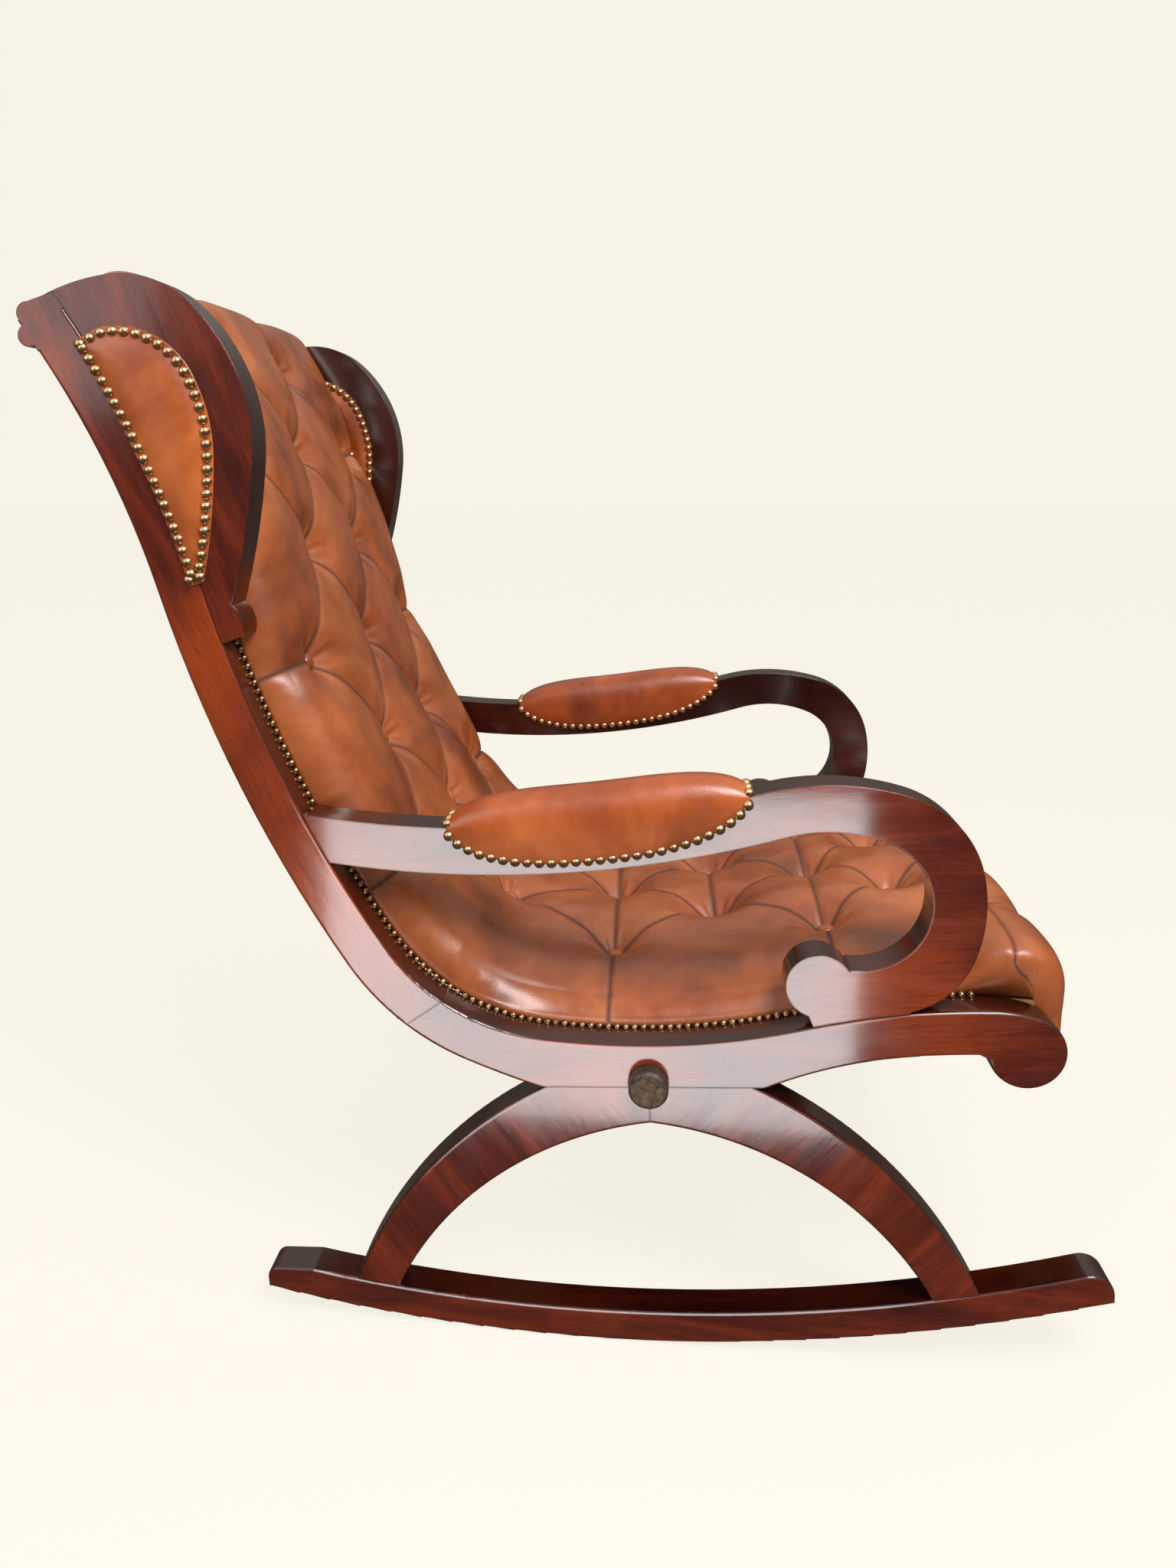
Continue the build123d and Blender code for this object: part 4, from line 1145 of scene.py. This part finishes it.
def buildDome(name, outline, faceY, sign, plump, edge):  # a leather pad, its flat side at faceY
    spots = np.array(outline)
    centre = spots.mean(axis=0)
    points = []
    for k, size in enumerate(domeRings):
        ring = centre + (spots - centre) * size
        away = distanceTo(ring, spots)
        rise = np.clip((away - wingPanel["nailInset"]) / wingPanel["plumpOver"], 0, 1)
        high = edge + plump * (1 - (1 - rise) ** 2)
        if k < len(wingPanel["edgeRise"]):
            high = high * wingPanel["edgeRise"][k]
        points += [toWorld(q[0], faceY + sign * h, q[1]) for q, h in zip(ring, high)]
    count = len(spots)
    faces = gridFaces(len(domeRings), count)
    points.append(toWorld(centre[0], faceY + sign * float(high.mean()), centre[1]))
    points.append(toWorld(centre[0], faceY, centre[1]))
    base, topPoint, flatPoint = (len(domeRings) - 1) * count, len(points) - 2, len(points) - 1
    faces += [(base + k, base + (k + 1) % count, topPoint) for k in range(count)]
    faces += [((k + 1) % count, k, flatPoint) for k in range(count)]
    piece = makeMesh(name, points, faces)
    faceOut(piece)
    wear(piece, panelLeather)
    return piece


def aheadOf(point):  # distance along the line and ahead of it
    ats = np.arange(*wingPanel["search"])
    best = ats[int(np.argmin([np.linalg.norm(place(at)[0] - point) for at in ats]))]
    spot, angle = place(best)
    return best, float(np.dot(point - spot, heading(angle - 90)))


def innerPanelOutline():
    w = wingPanel
    kept = [(point, *aheadOf(point)) for point in panelFront()]
    kept = [(point, at) for point, at, ahead in kept if ahead > w["innerFrom"]]
    outline = [point for point, at in kept]
    for at in np.arange(kept[-1][1], kept[0][1], -w["step"]):
        outline.append(beside(at, w["innerFrom"]))
    return outline


outerOutline, innerOutline = panelOutline(), innerPanelOutline()
outerNails = inwards(outerOutline, wingPanel["nailInset"])
innerNails = inwards(innerOutline, wingPanel["innerInset"])
panelRows = []
for sign, hand in ((-1, "R"), (1, "L")):
    w = wingPanel
    outerY, innerY = plane["halfWidth"] + w["proud"], innerFace - w["proud"]
    outer = buildDome(
        "wing_leather_outer_" + hand, outerOutline, sign * outerY, sign, w["plump"], w["edge"]
    )
    inner = buildDome(
        "wing_leather_inner_" + hand, innerOutline, sign * innerY, -sign, w["innerPlump"],
        w["innerEdge"],
    )
    outerNodes = ("wing_panel_outer_" + hand, "wing_stuffing_" + hand)
    innerNodes = ("wing_panel_inner_" + hand,)
    for piece, nodes, fill in ((outer, outerNodes, 0.5), (inner, innerNodes, 0.4)):
        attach(piece, "root")
        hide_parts(*nodes)
    outerNailY, innerNailY = plane["halfWidth"] + w["nailProud"], innerFace - w["innerNailProud"]
    for spots, nailY, look in ((outerNails, outerNailY, sign), (innerNails, innerNailY, -sign)):
        row = [(toWorld(q[0], sign * nailY, q[1]), (0, look, 0)) for q in spots]
        panelRows.append((row, True, True))
growOn("wing_nails", panelRows, nailRow, nail, brass)

# Nails round the outside of the back, in one closed row

backRow = {"low": 250, "high": 896, "behind": 37.2, "across": 264, "corner": 256, "up": 8.0, "along": 16}


def backNail(at, y):
    spot = beside(at, -backRow["behind"])
    n = heading(place(at)[1] - 90)
    return toWorld(spot[0], y, spot[1]), turnWorld(-n[0], 0, -n[1])


border = []
for sign, start, end in ((1, backRow["low"], backRow["high"]), (-1, backRow["high"], backRow["low"])):
    for at in np.arange(start, end, sign * backRow["up"]):
        border.append(backNail(at, sign * backRow["across"]))
    for y in np.arange(backRow["corner"], -backRow["corner"] - 1, -backRow["along"]):
        border.append(backNail(end, sign * y))
growOn("back_nails", [(border, True, True)], nailRow, nail, brass)

# Floor, light and camera

studio = {
    "back": "#F7F3E7",                           # paper of floor and backdrop
    "reach": 30, "floorGlow": 1.034, "glowShare": 0.9,
    "polish": "#8A8378", "floorInPolish": 0.35,  # what polished wood sees of the floor
    "sky": ((0.0, "#6A665E"), (0.3, "#88847C"), (0.75, "#F6F2EA")),
    "world": 0.85,
    "key": {"spot": (0.9, -1.6, 2.5), "aim": (0, 0, 0.5), "size": (1.1, 1.1), "watts": 78},
    "fill": {"spot": (-1.6, -1.5, 1.7), "aim": (0, 0, 0.5), "size": (1.6, 1.6), "watts": 14},
    "card": {"spot": (-0.01, -0.70, 0.19), "aim": (-0.01, -0.3, 0.19), "size": (0.68, 0.52), "watts": 9},
}
reach = studio["reach"]
floorMesh = bpy.data.meshes.new("floor")
corners = [(-reach, -reach, 0), (reach, -reach, 0), (reach, reach, 0), (-reach, reach, 0)]
floorMesh.from_pydata(corners, [], [(0, 1, 2, 3)])
floor = bpy.data.objects.new("floor", floorMesh)
bpy.context.scene.collection.objects.link(floor)
# matt background paper: an even pale tone that keeps the chair's shadow
floorMaterial, tree, surface = newMaterial(
    "paperFloor", {"Base Color": paint(studio["back"]), "Roughness": 0.95, "Specular IOR Level": 0.0}
)
path = addNode(tree, "ShaderNodeLightPath").outputs
glow = addNode(
    tree, "ShaderNodeEmission", {"Color": paint(studio["back"]), "Strength": studio["floorGlow"]}
)
seen = addNode(
    tree, "ShaderNodeMath", {"operation": "MULTIPLY", 1: studio["glowShare"]},
    {0: path["Is Camera Ray"]},
)
paper = addNode(tree, "ShaderNodeMixShader", links={0: seen, 1: surface, 2: glow})
dim = addNode(
    tree, "ShaderNodeEmission",
    {"Color": paint(studio["polish"]), "Strength": studio["floorInPolish"]},
)
mirrored = addNode(tree, "ShaderNodeMixShader", links={0: path["Is Glossy Ray"], 1: paper, 2: dim})
join(tree, tree.nodes["Material Output"], {"Surface": mirrored})
floorMesh.materials.append(floorMaterial)

world = bpy.data.worlds.new("studio")
bpy.context.scene.world = world
world.use_nodes = True
tree = world.node_tree
soft = tree.nodes["Background"]
soft.inputs["Strength"].default_value = studio["world"]
direction = addNode(tree, "ShaderNodeTexCoord").outputs["Generated"]
skyward = addNode(tree, "ShaderNodeSeparateXYZ", links={0: direction}).outputs["Z"]
sky = addNode(tree, "ShaderNodeValToRGB", {"stops": studio["sky"]}, {0: skyward})
join(tree, soft, {"Color": sky})
shown = addNode(tree, "ShaderNodeBackground", {"Color": paint(studio["back"]), "Strength": 1.0})
path = addNode(tree, "ShaderNodeLightPath").outputs
either = addNode(
    tree, "ShaderNodeMath", {"operation": "MAXIMUM"},
    {0: path["Is Camera Ray"], 1: path["Is Transmission Ray"]},
)
backdrop = addNode(tree, "ShaderNodeMixShader", links={0: either, 1: soft, 2: shown})
join(tree, tree.nodes["World Output"], {"Surface": backdrop})


def softbox(name, setting):
    lamp = bpy.data.lights.new(name, "AREA")
    lamp.energy = setting["watts"]
    lamp.shape = "RECTANGLE"
    lamp.size, lamp.size_y = setting["size"]
    box = bpy.data.objects.new(name, lamp)
    bpy.context.scene.collection.objects.link(box)
    box.location = setting["spot"]
    toAim = Vector(setting["aim"]) - Vector(setting["spot"])
    box.rotation_euler = toAim.to_track_quat("-Z", "Y").to_euler()
    return box


softbox("keyBox", studio["key"])
softbox("fillBox", studio["fill"])
card = softbox("reflectionCard", studio["card"])  # only seen in the polish
card.visible_camera = False
card.visible_diffuse = False
card.visible_transmission = False
polished = bpy.data.collections.new("polished")  # the card is for the right side frame alone
for stem in grainOf:
    polished.objects.link(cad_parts[stem + "_R"])
card.light_linking.receiver_collection = polished
print("rocker: studio lit")

view = {
    "spot": (0.0660, -1.310, 0.8348), "turn": (80.054, -0.029, 6.8825),
    "lens": 26.37, "sensor": 36, "shift": (0.0464, -0.0683), "clip": (0.05, 100),
}
cameraData = bpy.data.cameras.new("camera")
cameraData.sensor_fit = "AUTO"
cameraData.sensor_width = view["sensor"]
cameraData.lens = view["lens"]
cameraData.shift_x, cameraData.shift_y = view["shift"]
cameraData.clip_start, cameraData.clip_end = view["clip"]
camera = bpy.data.objects.new("camera", cameraData)
bpy.context.scene.collection.objects.link(camera)
camera.location = view["spot"]
camera.rotation_euler = [math.radians(a) for a in view["turn"]]
bpy.context.scene.camera = camera
bpy.context.scene.view_settings.view_transform = "Standard"
